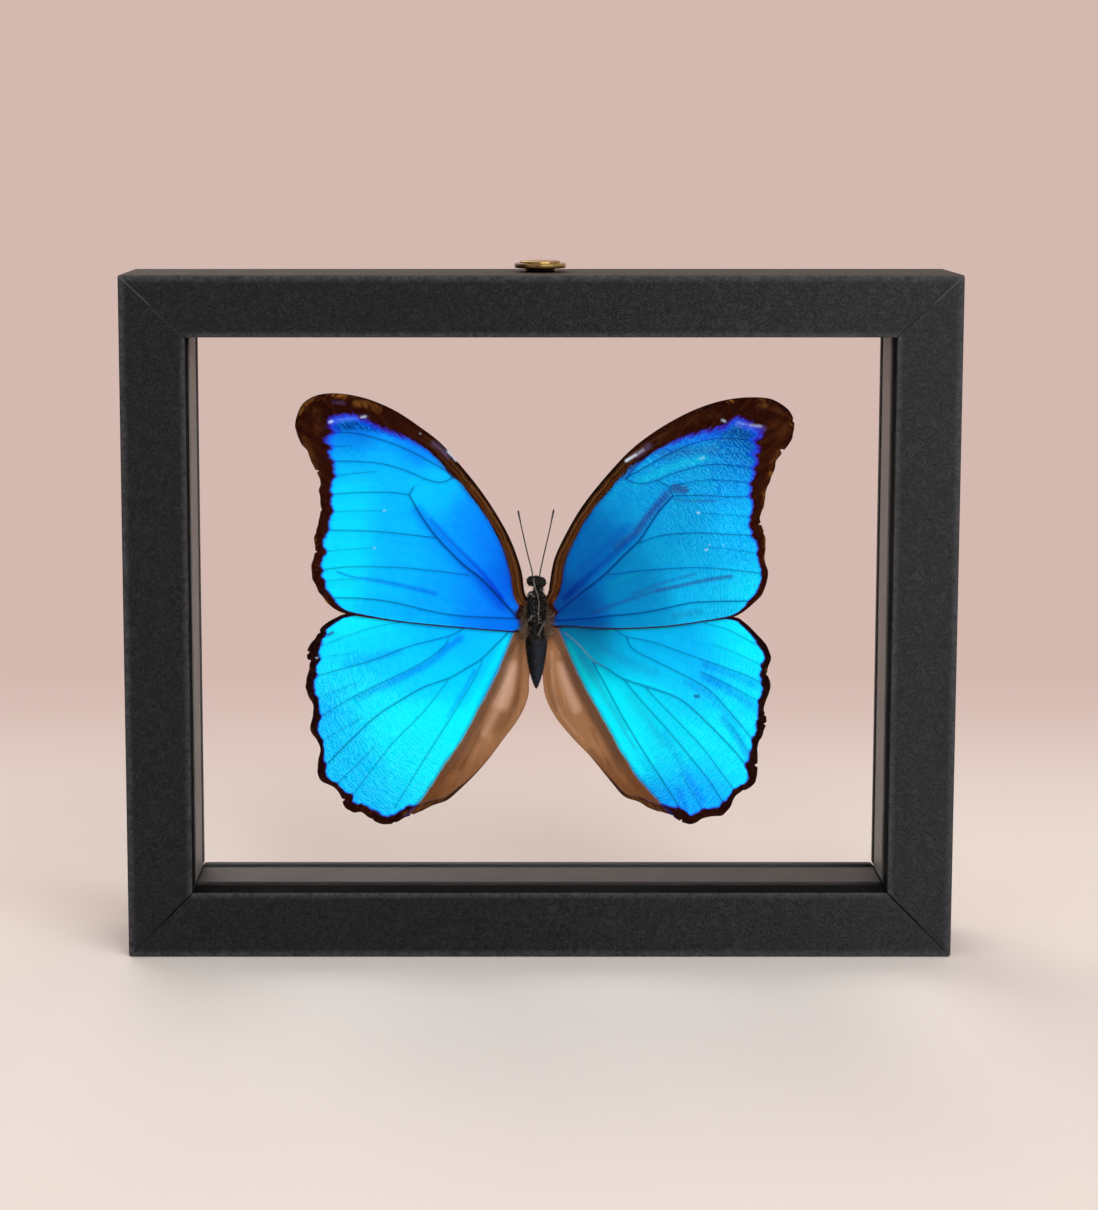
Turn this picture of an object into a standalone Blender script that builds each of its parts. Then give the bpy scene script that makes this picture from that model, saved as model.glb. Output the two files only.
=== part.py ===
"""A blue butterfly mounted between two panes in a free-standing black frame.

X runs to the right, Y to the back and Z up. The origin is under the middle of the frame,
on the surface that it stands on. All lengths below are in millimetres.
"""

import math

import bmesh
import bpy
from mathutils import Vector

MM = 0.001

# Frame
FRAME_WIDTH = 210.0
FRAME_HEIGHT = 174.3
FRAME_DEPTH = 28.0
SIDE_RAIL = 16.5
TOP_RAIL = 15.6
BOTTOM_RAIL = 16.8
RABBET = 6.0
LIP_DEPTH = 6.8
ARRIS_RADIUS = 0.8
INNER_ARRIS_RADIUS = 0.4
MITRE_EASE = 0.2

# What lies behind the lip, from front to back
FIT_GAP = 0.3
GLASS_THICKNESS = 2.4
SPACER_DEPTH = 12.6
RETAINER_WIDTH = 5.7
RETAINER_SETBACK = 0.6

# Brass knob, turned in one piece
KNOB_NECK_RADIUS = 4.0
KNOB_NECK_HEIGHT = 0.9
KNOB_FLANGE_RADIUS = 6.5
KNOB_FLANGE_HEIGHT = 1.2
KNOB_CAP_RADIUS = 5.1
KNOB_CAP_HEIGHT = 0.7

# Butterfly. Its own zero is in the middle of the thorax.
BUTTERFLY_HEIGHT = 84.7
BUTTERFLY_ASIDE = -0.7
BODY_DEPTH_PLACE = 4.0
FOREWING_DEPTH_PLACE = 3.3
HINDWING_DEPTH_PLACE = 4.0
WING_THICKNESS = 0.3
WING_TILT = 1.2
ANTENNA_RADIUS = 0.16
ANTENNA_CLUB_RADIUS = 0.26
PROBOSCIS_RADIUS = 0.17
LEG_RADIUS = 0.2
GLUE_RADIUS = 2.2

CIRCLE_STEPS = 32
ARC_STEPS = 4
OUTLINE_STEPS = 3

FRONT = -FRAME_DEPTH / 2
GLASS_FRONT = FRONT + LIP_DEPTH + FIT_GAP
SPACER_FRONT = GLASS_FRONT + GLASS_THICKNESS + FIT_GAP
REAR_GLASS_FRONT = SPACER_FRONT + SPACER_DEPTH + FIT_GAP
RETAINER_FRONT = REAR_GLASS_FRONT + GLASS_THICKNESS + FIT_GAP
BACK = FRAME_DEPTH / 2

# Wing outlines, looked at from the front, from the root out along the leading edge
FOREWING_LEFT = [
    (-3.4, 5.1),
    (-6.9, 19.9),
    (-14.7, 33.4),
    (-24.7, 45.6),
    (-35.9, 53.7),
    (-46.1, 57.7),
    (-55.0, 58.2),
    (-60.4, 55.0),
    (-61.8, 51.0),
    (-60.4, 45.6),
    (-57.7, 40.6),
    (-55.5, 35.2),
    (-55.4, 28.9),
    (-57.2, 20.8),
    (-57.9, 11.4),
    (-55.6, 6.2),
    (-51.5, 2.1),
    (-48.3, 1.0),
    (-37.2, -0.8),
    (-26.1, -2.1),
    (-8.3, -3.7),
    (-3.6, -3.4),
]
FOREWING_RIGHT = [
    (3.4, 5.6),
    (7.7, 20.4),
    (15.3, 33.9),
    (24.6, 44.2),
    (35.4, 51.7),
    (45.1, 55.9),
    (54.8, 57.4),
    (62.4, 55.7),
    (65.8, 51.0),
    (64.7, 45.6),
    (61.6, 41.5),
    (58.7, 32.5),
    (57.3, 26.2),
    (58.9, 20.4),
    (59.6, 12.3),
    (58.2, 6.4),
    (53.1, 1.5),
    (50.0, 0.1),
    (44.3, -0.8),
    (33.1, -2.4),
    (19.8, -3.0),
    (3.6, -2.8),
]
HINDWING_LEFT = [
    (-3.6, -1.0),
    (-19.8, 0.6),
    (-37.5, 2.0),
    (-48.2, 1.2),
    (-55.2, -2.1),
    (-59.4, -10.2),
    (-59.8, -18.6),
    (-58.3, -27.0),
    (-56.1, -34.6),
    (-56.9, -41.2),
    (-50.8, -47.4),
    (-45.2, -51.8),
    (-39.5, -54.9),
    (-34.3, -53.1),
    (-26.9, -49.8),
    (-20.3, -46.0),
    (-12.4, -37.6),
    (-5.7, -27.5),
    (-3.6, -19.5),
    (-3.3, -12.0),
]
HINDWING_RIGHT = [
    (3.6, -1.0),
    (19.8, 0.2),
    (37.5, 1.2),
    (50.4, 0.3),
    (57.4, -4.7),
    (60.7, -11.1),
    (60.7, -18.2),
    (59.1, -25.0),
    (57.6, -33.7),
    (57.4, -42.1),
    (52.2, -46.9),
    (48.2, -52.4),
    (40.8, -54.7),
    (34.7, -52.2),
    (26.8, -48.9),
    (19.4, -43.4),
    (9.8, -32.3),
    (4.6, -24.0),
    (3.6, -18.2),
    (3.4, -11.1),
]

# The body from the tip of the abdomen to the top of the head: height, half width, half
# depth, and how far the middle lies behind the middle of the thorax
BODY_RINGS = [
    (-19.0, 0.25, 0.25, 0.5),
    (-17.6, 0.95, 0.9, 0.5),
    (-15.5, 1.6, 1.5, 0.45),
    (-12.5, 2.25, 2.1, 0.4),
    (-9.0, 2.7, 2.5, 0.3),
    (-6.4, 2.8, 2.5, 0.2),
    (-5.0, 2.35, 2.2, 0.1),
    (-3.2, 2.7, 2.7, 0.0),
    (0.0, 2.85, 3.0, 0.0),
    (3.0, 2.7, 2.8, 0.0),
    (5.4, 2.1, 2.3, 0.0),
    (6.8, 1.1, 1.4, 0.1),
    (7.8, 1.7, 1.5, 0.1),
    (9.3, 2.5, 1.9, 0.1),
    (10.6, 2.3, 1.7, 0.1),
    (11.5, 1.2, 0.9, 0.1),
]

# Threadlike pieces, each as a route of (x, depth, height) from the thorax's middle
ANTENNA_LEFT = [(-1.2, -0.6, 12.2), (-2.4, -0.9, 17.0), (-3.7, -1.2, 22.8), (-4.8, -1.5, 28.1)]
ANTENNA_RIGHT = [(1.0, -0.6, 12.2), (2.0, -0.9, 17.0), (3.3, -1.2, 22.8), (4.4, -1.5, 28.4)]
PROBOSCIS = [
    (-0.7, -2.5, 9.9),
    (-0.3, -2.8, 7.9),
    (0.2, -3.0, 6.4),
    (0.6, -3.6, 4.4),
    (0.5, -3.8, 1.6),
    (0.6, -3.7, -0.9),
]
FORELEG_LEFT = [(-1.6, -3.4, 0.4), (-3.0, -2.9, -1.3), (-5.0, -1.8, -2.9)]
FORELEG_RIGHT = [(0.9, -3.6, -3.8), (1.6, -3.7, -1.8), (3.2, -3.0, 0.0), (4.9, -1.9, 1.1)]
MIDLEG = [(3.0, 1.7, 2.6), (3.4, 2.7, 4.6), (3.2, 3.4, 6.0), (3.5, 3.4, 1.6), (3.4, 3.6, -2.4)]
HINDLEG = [(2.9, 2.2, -0.6), (4.3, 2.9, 0.2), (4.7, 3.4, -1.2), (4.0, 3.5, -5.6), (3.2, 3.7, -10.4)]


def material(name, color, roughness, metallic=0.0, transmission=0.0):
    made = bpy.data.materials.new(name)
    made.use_nodes = True
    shader = made.node_tree.nodes["Principled BSDF"]
    shader.inputs["Base Color"].default_value = (*color, 1.0)
    shader.inputs["Roughness"].default_value = roughness
    shader.inputs["Metallic"].default_value = metallic
    shader.inputs["Transmission Weight"].default_value = transmission
    return made


def piece(name, shape, finish):
    """The bmesh, whose lengths are in millimetres, as a named object with its finish."""
    bmesh.ops.scale(shape, vec=(MM, MM, MM), verts=shape.verts)
    bmesh.ops.recalc_face_normals(shape, faces=shape.faces)
    mesh = bpy.data.meshes.new(name)
    shape.to_mesh(mesh)
    shape.free()
    mesh.materials.append(finish)
    made = bpy.data.objects.new(name, mesh)
    bpy.context.scene.collection.objects.link(made)
    return made


def shade_round(made, angle=35.0):
    made.data.shade_smooth()
    made.data.set_sharp_from_angle(angle=math.radians(angle))


def rounded(corners):
    """A section's outline with each (x, y, radius) corner turned into an arc."""
    outline = []
    for index, (x, y, radius) in enumerate(corners):
        corner = Vector((x, y))
        before = Vector(corners[index - 1][:2])
        after = Vector(corners[(index + 1) % len(corners)][:2])
        if radius == 0.0:
            outline.append(corner)
            continue
        start = (before - corner).normalized()
        end = (after - corner).normalized()
        centre = corner + (start + end) * radius
        for step in range(ARC_STEPS + 1):
            turn = math.pi / 2 * step / ARC_STEPS
            outline.append(centre - end * radius * math.cos(turn) - start * radius * math.sin(turn))
    return outline


def ring_side(name, side, outer, widths, section, finish):
    """One side of a mitred rectangle.

    outer holds the rectangle's left, right, bottom and top. widths holds how wide each side
    is, by name. section is the outline of this side, with its distance from the outer edge
    and its depth. The ends follow the line from the outer to the inner corner.
    """
    left, right, bottom, top = outer
    upright = side in ("left", "right")
    low_end, high_end = ("bottom", "top") if upright else ("left", "right")
    low, high = (bottom, top) if upright else (left, right)
    edge = {"left": left, "right": right, "bottom": bottom, "top": top}[side]
    inward = 1.0 if side in ("left", "bottom") else -1.0
    width = widths[side]
    shape = bmesh.new()
    ends = []
    for start, sign, neighbour in ((low, 1.0, low_end), (high, -1.0, high_end)):
        slope = widths[neighbour] / width
        relief = FIT_GAP / 2 * math.hypot(slope, 1.0)
        end = []
        for across, depth in section:
            along = start + sign * (across * slope + relief)
            level = edge + inward * across
            x, z = (level, along) if upright else (along, level)
            end.append(shape.verts.new((x, depth, z)))
        ends.append(end)
    count = len(section)
    for index in range(count):
        after = (index + 1) % count
        shape.faces.new((ends[0][index], ends[0][after], ends[1][after], ends[1][index]))
    shape.faces.new(ends[0])
    shape.faces.new(ends[1][::-1])
    made = piece(name, shape, finish)
    ease = made.modifiers.new("eased edges", "BEVEL")
    ease.width = MITRE_EASE * MM
    ease.segments = 1
    ease.limit_method = "ANGLE"
    ease.angle_limit = math.radians(40.0)
    shade_round(made)
    return made


def box(name, low, high, finish):
    shape = bmesh.new()
    bmesh.ops.create_cube(shape, size=1.0)
    for vert in shape.verts:
        vert.co = Vector(
            tuple(low[axis] if vert.co[axis] < 0 else high[axis] for axis in range(3))
        )
    return piece(name, shape, finish)


def turned(name, profile, finish):
    """A piece turned about the upright axis from its (radius, height) profile."""
    shape = bmesh.new()
    rings = []
    for radius, height in profile:
        if radius == 0.0:
            rings.append([shape.verts.new((0.0, 0.0, height))])
            continue
        ring = []
        for step in range(CIRCLE_STEPS):
            angle = 2 * math.pi * step / CIRCLE_STEPS
            ring.append(shape.verts.new((radius * math.cos(angle), radius * math.sin(angle), height)))
        rings.append(ring)
    skin(shape, rings)
    made = piece(name, shape, finish)
    shade_round(made)
    return made


def skin(shape, rings):
    """Faces between neighbouring rings, of which the first and last may be single points."""
    for lower, upper in zip(rings, rings[1:]):
        count = max(len(lower), len(upper))
        for step in range(count):
            after = (step + 1) % count
            if len(lower) == 1:
                shape.faces.new((lower[0], upper[after], upper[step]))
            elif len(upper) == 1:
                shape.faces.new((lower[step], lower[after], upper[0]))
            else:
                shape.faces.new((lower[step], lower[after], upper[after], upper[step]))


def smooth_route(points, steps):
    """Points along a Catmull-Rom curve through the given ones."""
    last = len(points) - 1
    route = []
    for index in range(last):
        near = [Vector(points[min(max(index + shift, 0), last)]) for shift in (-1, 0, 1, 2)]
        for step in range(steps):
            t = step / steps
            route.append(
                0.5
                * (
                    2 * near[1]
                    + (near[2] - near[0]) * t
                    + (2 * near[0] - 5 * near[1] + 4 * near[2] - near[3]) * t**2
                    + (3 * near[1] - near[0] - 3 * near[2] + near[3]) * t**3
                )
            )
    route.append(Vector(points[-1]))
    return route


def thread(name, points, radius, finish, end_radius=None, sides=8):
    """A fine round piece along a route. Its radius swells to end_radius near its far end."""
    route = [
        Vector((BUTTERFLY_ASIDE + x, BODY_DEPTH_PLACE + y, BUTTERFLY_HEIGHT + z))
        for x, y, z in smooth_route(points, OUTLINE_STEPS)
    ]
    shape = bmesh.new()
    rings = []
    for index, place in enumerate(route):
        before = route[max(index - 1, 0)]
        after = route[min(index + 1, len(route) - 1)]
        along = (after - before).normalized()
        across = along.cross(Vector((0.0, 1.0, 0.0))).normalized()
        other = along.cross(across)
        share = index / (len(route) - 1)
        swell = max(0.0, (share - 0.75) / 0.25)
        size = radius if end_radius is None else radius + (end_radius - radius) * swell
        ring = []
        for step in range(sides):
            angle = 2 * math.pi * step / sides
            turn = across * math.cos(angle) + other * math.sin(angle)
            ring.append(shape.verts.new(place + turn * size))
        rings.append(ring)
    skin(shape, rings)
    shape.faces.new(rings[0])
    shape.faces.new(rings[-1][::-1])
    made = piece(name, shape, finish)
    shade_round(made, 60.0)
    return made


def wing(name, outline, depth, finish):
    """A thin flat wing in the given outline, tilted a little forward towards its tip."""
    points = smooth_route(outline, OUTLINE_STEPS)
    rise = math.tan(math.radians(WING_TILT))
    shape = bmesh.new()
    sheets = []
    for lift in (-WING_THICKNESS / 2, WING_THICKNESS / 2):
        sheet = []
        for point in points:
            place = (
                BUTTERFLY_ASIDE + point.x,
                depth + lift - abs(point.x) * rise,
                BUTTERFLY_HEIGHT + point.y,
            )
            sheet.append(shape.verts.new(place))
        sheets.append(sheet)
    count = len(points)
    for index in range(count):
        after = (index + 1) % count
        shape.faces.new((sheets[0][index], sheets[0][after], sheets[1][after], sheets[1][index]))
    for sheet in sheets:
        bmesh.ops.triangulate(shape, faces=[shape.faces.new(sheet)])
    return piece(name, shape, finish)


def body(finish):
    shape = bmesh.new()
    rings = []
    for height, half_width, half_depth, behind in BODY_RINGS:
        ring = []
        for step in range(CIRCLE_STEPS):
            angle = 2 * math.pi * step / CIRCLE_STEPS
            ring.append(
                shape.verts.new(
                    (
                        BUTTERFLY_ASIDE + half_width * math.cos(angle),
                        BODY_DEPTH_PLACE + behind + half_depth * math.sin(angle),
                        BUTTERFLY_HEIGHT + height,
                    )
                )
            )
        rings.append(ring)
    skin(shape, rings)
    shape.faces.new(rings[0][::-1])
    shape.faces.new(rings[-1])
    made = piece("body", shape, finish)
    shade_round(made, 60.0)
    return made


def frame_rails(finish):
    widths = {"left": SIDE_RAIL, "right": SIDE_RAIL, "top": TOP_RAIL, "bottom": BOTTOM_RAIL}
    outer = (-FRAME_WIDTH / 2, FRAME_WIDTH / 2, 0.0, FRAME_HEIGHT)
    for side, width in widths.items():
        section = rounded(
            [
                (0.0, FRONT, ARRIS_RADIUS),
                (width, FRONT, INNER_ARRIS_RADIUS),
                (width, FRONT + LIP_DEPTH, 0.0),
                (width - RABBET, FRONT + LIP_DEPTH, 0.0),
                (width - RABBET, BACK, INNER_ARRIS_RADIUS),
                (0.0, BACK, ARRIS_RADIUS),
            ]
        )
        ring_side(f"rail_{side}", side, outer, widths, section, finish)


def lining(kind, near, far, width, radius, finish):
    """Four strips in the rabbet, from the depth near to the depth far."""
    outer = (
        -FRAME_WIDTH / 2 + SIDE_RAIL - RABBET + FIT_GAP,
        FRAME_WIDTH / 2 - SIDE_RAIL + RABBET - FIT_GAP,
        BOTTOM_RAIL - RABBET + FIT_GAP,
        FRAME_HEIGHT - TOP_RAIL + RABBET - FIT_GAP,
    )
    widths = dict.fromkeys(("left", "right", "top", "bottom"), width)
    section = rounded([(0.0, near, 0.0), (width, near, radius), (width, far, radius), (0.0, far, 0.0)])
    for side in widths:
        ring_side(f"{kind}_{side}", side, outer, widths, section, finish)


def pane(name, front, finish):
    low = (
        -FRAME_WIDTH / 2 + SIDE_RAIL - RABBET + FIT_GAP,
        front,
        BOTTOM_RAIL - RABBET + FIT_GAP,
    )
    high = (-low[0], front + GLASS_THICKNESS, FRAME_HEIGHT - TOP_RAIL + RABBET - FIT_GAP)
    return box(name, low, high, finish)


def brass_knob(finish):
    foot = FRAME_HEIGHT + FIT_GAP / 3
    flange = foot + KNOB_NECK_HEIGHT
    rim = flange + KNOB_FLANGE_HEIGHT
    crown = rim + KNOB_CAP_HEIGHT
    ease = KNOB_FLANGE_HEIGHT / 4
    profile = [
        (0.0, foot),
        (KNOB_NECK_RADIUS, foot),
        (KNOB_NECK_RADIUS, flange),
        (KNOB_FLANGE_RADIUS - ease, flange),
        (KNOB_FLANGE_RADIUS, flange + ease),
        (KNOB_FLANGE_RADIUS, rim - ease),
        (KNOB_FLANGE_RADIUS - ease, rim),
        (KNOB_CAP_RADIUS, rim),
        (KNOB_CAP_RADIUS, rim + KNOB_CAP_HEIGHT * 0.5),
        (KNOB_CAP_RADIUS - ease, rim + KNOB_CAP_HEIGHT * 0.8),
        (KNOB_CAP_RADIUS * 0.5, crown - KNOB_CAP_HEIGHT * 0.04),
        (0.0, crown),
    ]
    return turned("brass_knob", profile, finish)


def glue_dot(finish):
    front = BODY_DEPTH_PLACE + max(ring[2] for ring in BODY_RINGS) + FIT_GAP / 2
    back = REAR_GLASS_FRONT - FIT_GAP / 2
    shape = bmesh.new()
    bmesh.ops.create_cone(
        shape,
        cap_ends=True,
        segments=CIRCLE_STEPS,
        radius1=GLUE_RADIUS,
        radius2=GLUE_RADIUS * 0.8,
        depth=back - front,
    )
    for vert in shape.verts:
        x, y, z = vert.co
        vert.co = (BUTTERFLY_ASIDE + x, (front + back) / 2 - z, BUTTERFLY_HEIGHT + y)
    made = piece("glue_dot", shape, finish)
    shade_round(made)
    return made


def mirrored(route):
    return [(-x, y, z) for x, y, z in route]


def main():
    for thing in list(bpy.data.objects):
        bpy.data.objects.remove(thing)

    black_wrap = material("black wrap", (0.022, 0.022, 0.023), 0.62)
    black_strip = material("black strip", (0.015, 0.015, 0.015), 0.7)
    grey_satin = material("grey satin", (0.13, 0.125, 0.12), 0.45)
    clear_glass = material("clear glass", (1.0, 1.0, 1.0), 0.0, transmission=1.0)
    brass = material("brass", (0.62, 0.43, 0.15), 0.25, metallic=1.0)
    blue_wing = material("blue wing", (0.0, 0.31, 0.85), 0.4)
    black_body = material("black body", (0.02, 0.021, 0.024), 0.6)
    leg_brown = material("leg brown", (0.09, 0.065, 0.04), 0.6)
    clear_glue = material("clear glue", (0.95, 0.95, 0.9), 0.1, transmission=1.0)

    frame_rails(black_wrap)
    pane("front_glass", GLASS_FRONT, clear_glass)
    pane("rear_glass", REAR_GLASS_FRONT, clear_glass)
    lining("spacer", SPACER_FRONT, SPACER_FRONT + SPACER_DEPTH, RABBET - FIT_GAP, 0.0, grey_satin)
    lining("retainer", RETAINER_FRONT, BACK - RETAINER_SETBACK, RETAINER_WIDTH, 0.3, black_strip)
    brass_knob(brass)

    body(black_body)
    wing("forewing_left", FOREWING_LEFT, FOREWING_DEPTH_PLACE, blue_wing)
    wing("forewing_right", FOREWING_RIGHT, FOREWING_DEPTH_PLACE, blue_wing)
    wing("hindwing_left", HINDWING_LEFT, HINDWING_DEPTH_PLACE, blue_wing)
    wing("hindwing_right", HINDWING_RIGHT, HINDWING_DEPTH_PLACE, blue_wing)
    thread("antenna_left", ANTENNA_LEFT, ANTENNA_RADIUS, black_body, ANTENNA_CLUB_RADIUS)
    thread("antenna_right", ANTENNA_RIGHT, ANTENNA_RADIUS, black_body, ANTENNA_CLUB_RADIUS)
    thread("proboscis", PROBOSCIS, PROBOSCIS_RADIUS, leg_brown)
    thread("foreleg_left", FORELEG_LEFT, LEG_RADIUS, leg_brown)
    thread("foreleg_right", FORELEG_RIGHT, LEG_RADIUS, leg_brown)
    thread("midleg_left", mirrored(MIDLEG), LEG_RADIUS, leg_brown)
    thread("midleg_right", MIDLEG, LEG_RADIUS, leg_brown)
    thread("hindleg_left", mirrored(HINDLEG), LEG_RADIUS, leg_brown)
    thread("hindleg_right", HINDLEG, LEG_RADIUS, leg_brown)
    glue_dot(clear_glue)


main()
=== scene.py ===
"""The looks of a blue butterfly mounted between two panes in a black wrapped frame.

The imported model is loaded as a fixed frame, and each visible piece is made in the place that the
model gives it. X runs to the right, Y to the back and Z up. Lengths are millimetres until a mesh
is made, which turns them into metres. On the butterfly, places are (x, z) or (x, depth, z) from
the middle of its thorax, and a flat route is x, z, x, z and so on.
"""

import math
import random

import bmesh
import bpy
import numpy as np
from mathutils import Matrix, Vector, kdtree, noise
from mathutils.geometry import delaunay_2d_cdt


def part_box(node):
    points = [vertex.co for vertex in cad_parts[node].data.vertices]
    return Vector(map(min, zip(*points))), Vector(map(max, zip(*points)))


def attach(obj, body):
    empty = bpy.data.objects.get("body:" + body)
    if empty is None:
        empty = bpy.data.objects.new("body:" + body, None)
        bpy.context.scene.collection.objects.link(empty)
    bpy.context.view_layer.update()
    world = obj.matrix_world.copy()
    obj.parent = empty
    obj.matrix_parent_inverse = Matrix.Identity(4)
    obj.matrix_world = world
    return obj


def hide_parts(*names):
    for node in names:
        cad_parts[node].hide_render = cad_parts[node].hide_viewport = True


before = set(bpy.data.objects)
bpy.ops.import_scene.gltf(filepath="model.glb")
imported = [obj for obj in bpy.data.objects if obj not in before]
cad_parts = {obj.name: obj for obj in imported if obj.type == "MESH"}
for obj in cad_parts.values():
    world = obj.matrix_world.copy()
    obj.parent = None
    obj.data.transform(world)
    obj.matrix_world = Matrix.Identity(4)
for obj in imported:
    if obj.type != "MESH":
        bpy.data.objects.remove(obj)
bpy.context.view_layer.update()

bl_info = {
    "name": "Framed Butterfly",
    "version": (1, 0, 0),
    "blender": (4, 5, 0),
    "location": "3D View > Sidebar > Butterfly",
    "description": "Builds a blue butterfly mounted between two panes in a black frame",
    "category": "Object",
}

MM = 0.001
BODY = "root"

# The stage, in millimetres and degrees
CAMERA_ASIDE = -12.0
CAMERA_HEIGHT = 208.0
CAMERA_PITCH = 6.34
CAMERA_LENS = 72.15
CAMERA_SHIFT = (0.0465, -0.1635)
FLOOR_GAP = 0.05


def box_mm(node):
    """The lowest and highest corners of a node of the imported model, in millimetres."""
    low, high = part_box(node)
    return low / MM, high / MM


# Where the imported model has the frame's parts
FIT_GAP = 0.3
FRAME_LEFT = box_mm("rail_left")[0].x
FRAME_RIGHT = box_mm("rail_right")[1].x
FRAME_BOTTOM = box_mm("rail_bottom")[0].z
FRAME_TOP = box_mm("rail_top")[1].z
FRAME_FRONT = box_mm("rail_left")[0].y
FRAME_BACK = box_mm("rail_left")[1].y
RAIL_WIDTHS = {
    "left": box_mm("rail_left")[1].x - FRAME_LEFT,
    "right": FRAME_RIGHT - box_mm("rail_right")[0].x,
    "bottom": box_mm("rail_bottom")[1].z - FRAME_BOTTOM,
    "top": FRAME_TOP - box_mm("rail_top")[0].z,
}
LIP_DEPTH = box_mm("front_glass")[0].y - FIT_GAP - FRAME_FRONT
RABBET = RAIL_WIDTHS["left"] - (box_mm("front_glass")[0].x - FIT_GAP - FRAME_LEFT)

OUTER_ROUND = 0.8
INNER_ROUND = 0.35
REBATE_ROUND = 0.12
MITRE_GAP = 0.09
PANE_EASE = 0.18

# Where it has the butterfly: the thorax's half depth and the tip of the abdomen set the place
THORAX_HALF_DEPTH = 3.0
ABDOMEN_LENGTH = 19.0
BODY_MIDDLE = (box_mm("body")[0].x + box_mm("body")[1].x) / 2
BODY_DEPTH = box_mm("body")[0].y + THORAX_HALF_DEPTH
BODY_HEIGHT = box_mm("body")[0].z + ABDOMEN_LENGTH
FOREWING_DEPTH = -0.7
HINDWING_DEPTH = 0.0
WING_RISE = math.tan(math.radians(1.2))
THREAD_STEP = 0.12
# What a place gets that is far from any vein or eyespot, or on a wing with no inner panel
FAR_OFF = 9.0
NO_PANEL = -200.0


def on_butterfly(x, depth, z):
    """A place on the butterfly as a place in the frame."""
    return (BODY_MIDDLE + x, BODY_DEPTH + depth, BODY_HEIGHT + z)


# Wing outlines from the root out along the leading edge and back along the hind edge, each as
# (x, z, width of the dark border there)
FOREWING_LEFT_EDGE = [
    (-1.4, 4.2, 3.0), (-3.0, 6.4, 3.0), (-3.9, 12.3, 3.1), (-6.5, 19.9, 2.8), (-10.1, 26.7, 2.7),
    (-14.5, 33.4, 3.0), (-19.5, 39.7, 3.0), (-24.7, 45.6, 3.3), (-30.5, 50.1, 4.0),
    (-35.9, 53.7, 5.2), (-41.2, 56.2, 5.2), (-46.1, 57.7, 4.7), (-51.0, 58.4, 5.4),
    (-55.0, 58.2, 6.3), (-58.1, 57.1, 6.9), (-60.4, 55.0, 7.3), (-61.8, 51.0, 8.2),
    (-61.5, 48.3, 6.6), (-60.4, 45.6, 5.2), (-58.8, 43.5, 5.0), (-57.7, 40.6, 4.3),
    (-55.9, 37.0, 3.2), (-55.5, 35.2, 2.6), (-55.8, 32.5, 2.6), (-55.4, 28.9, 2.4),
    (-56.3, 24.4, 2.5), (-57.2, 20.8, 2.2), (-57.0, 17.7, 1.9), (-57.9, 14.1, 2.3),
    (-57.9, 11.4, 2.4), (-57.0, 8.7, 2.1), (-55.6, 6.2, 1.9), (-53.6, 3.7, 1.6), (-51.5, 2.1, 1.3),
    (-48.3, 1.0, 0.7), (-37.2, -0.8, 0.3), (-26.1, -2.1, 0.3), (-8.3, -3.7, 0.3),
    (-5.6, -3.9, 0.5), (-1.4, -2.6, 1.0),
]
FOREWING_RIGHT_EDGE = [
    (1.4, 4.2, 2.6), (3.0, 6.4, 2.6), (3.4, 9.1, 3.1), (4.6, 15.4, 3.0), (7.7, 22.2, 2.8),
    (11.3, 28.5, 2.8), (15.3, 33.9, 3.0), (20.2, 39.7, 3.0), (24.6, 44.2, 3.3), (29.9, 48.3, 4.2),
    (35.4, 51.7, 5.0), (40.2, 54.1, 5.8), (45.1, 55.9, 6.2), (49.9, 57.0, 4.4), (54.8, 57.4, 5.8),
    (59.3, 57.1, 7.6), (62.4, 55.7, 8.0), (64.7, 53.7, 8.2), (65.8, 51.0, 8.2), (65.6, 48.3, 8.0),
    (64.7, 45.6, 6.8), (61.6, 41.5, 4.5), (60.9, 38.8, 4.4), (59.5, 35.2, 3.9), (58.7, 32.5, 3.4),
    (58.5, 29.8, 2.8), (57.3, 26.2, 2.0), (58.2, 23.2, 2.6), (58.9, 20.4, 2.2), (58.7, 15.4, 1.5),
    (59.6, 12.3, 1.5), (59.3, 9.6, 1.5), (58.2, 6.4, 1.5), (56.2, 4.2, 1.2), (53.1, 1.5, 0.7),
    (50.0, 0.1, 0.5), (44.3, -0.8, 0.3), (33.1, -2.4, 0.3), (19.8, -3.0, 0.3), (8.6, -2.4, 0.3),
    (1.4, -2.2, 0.9),
]
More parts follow.
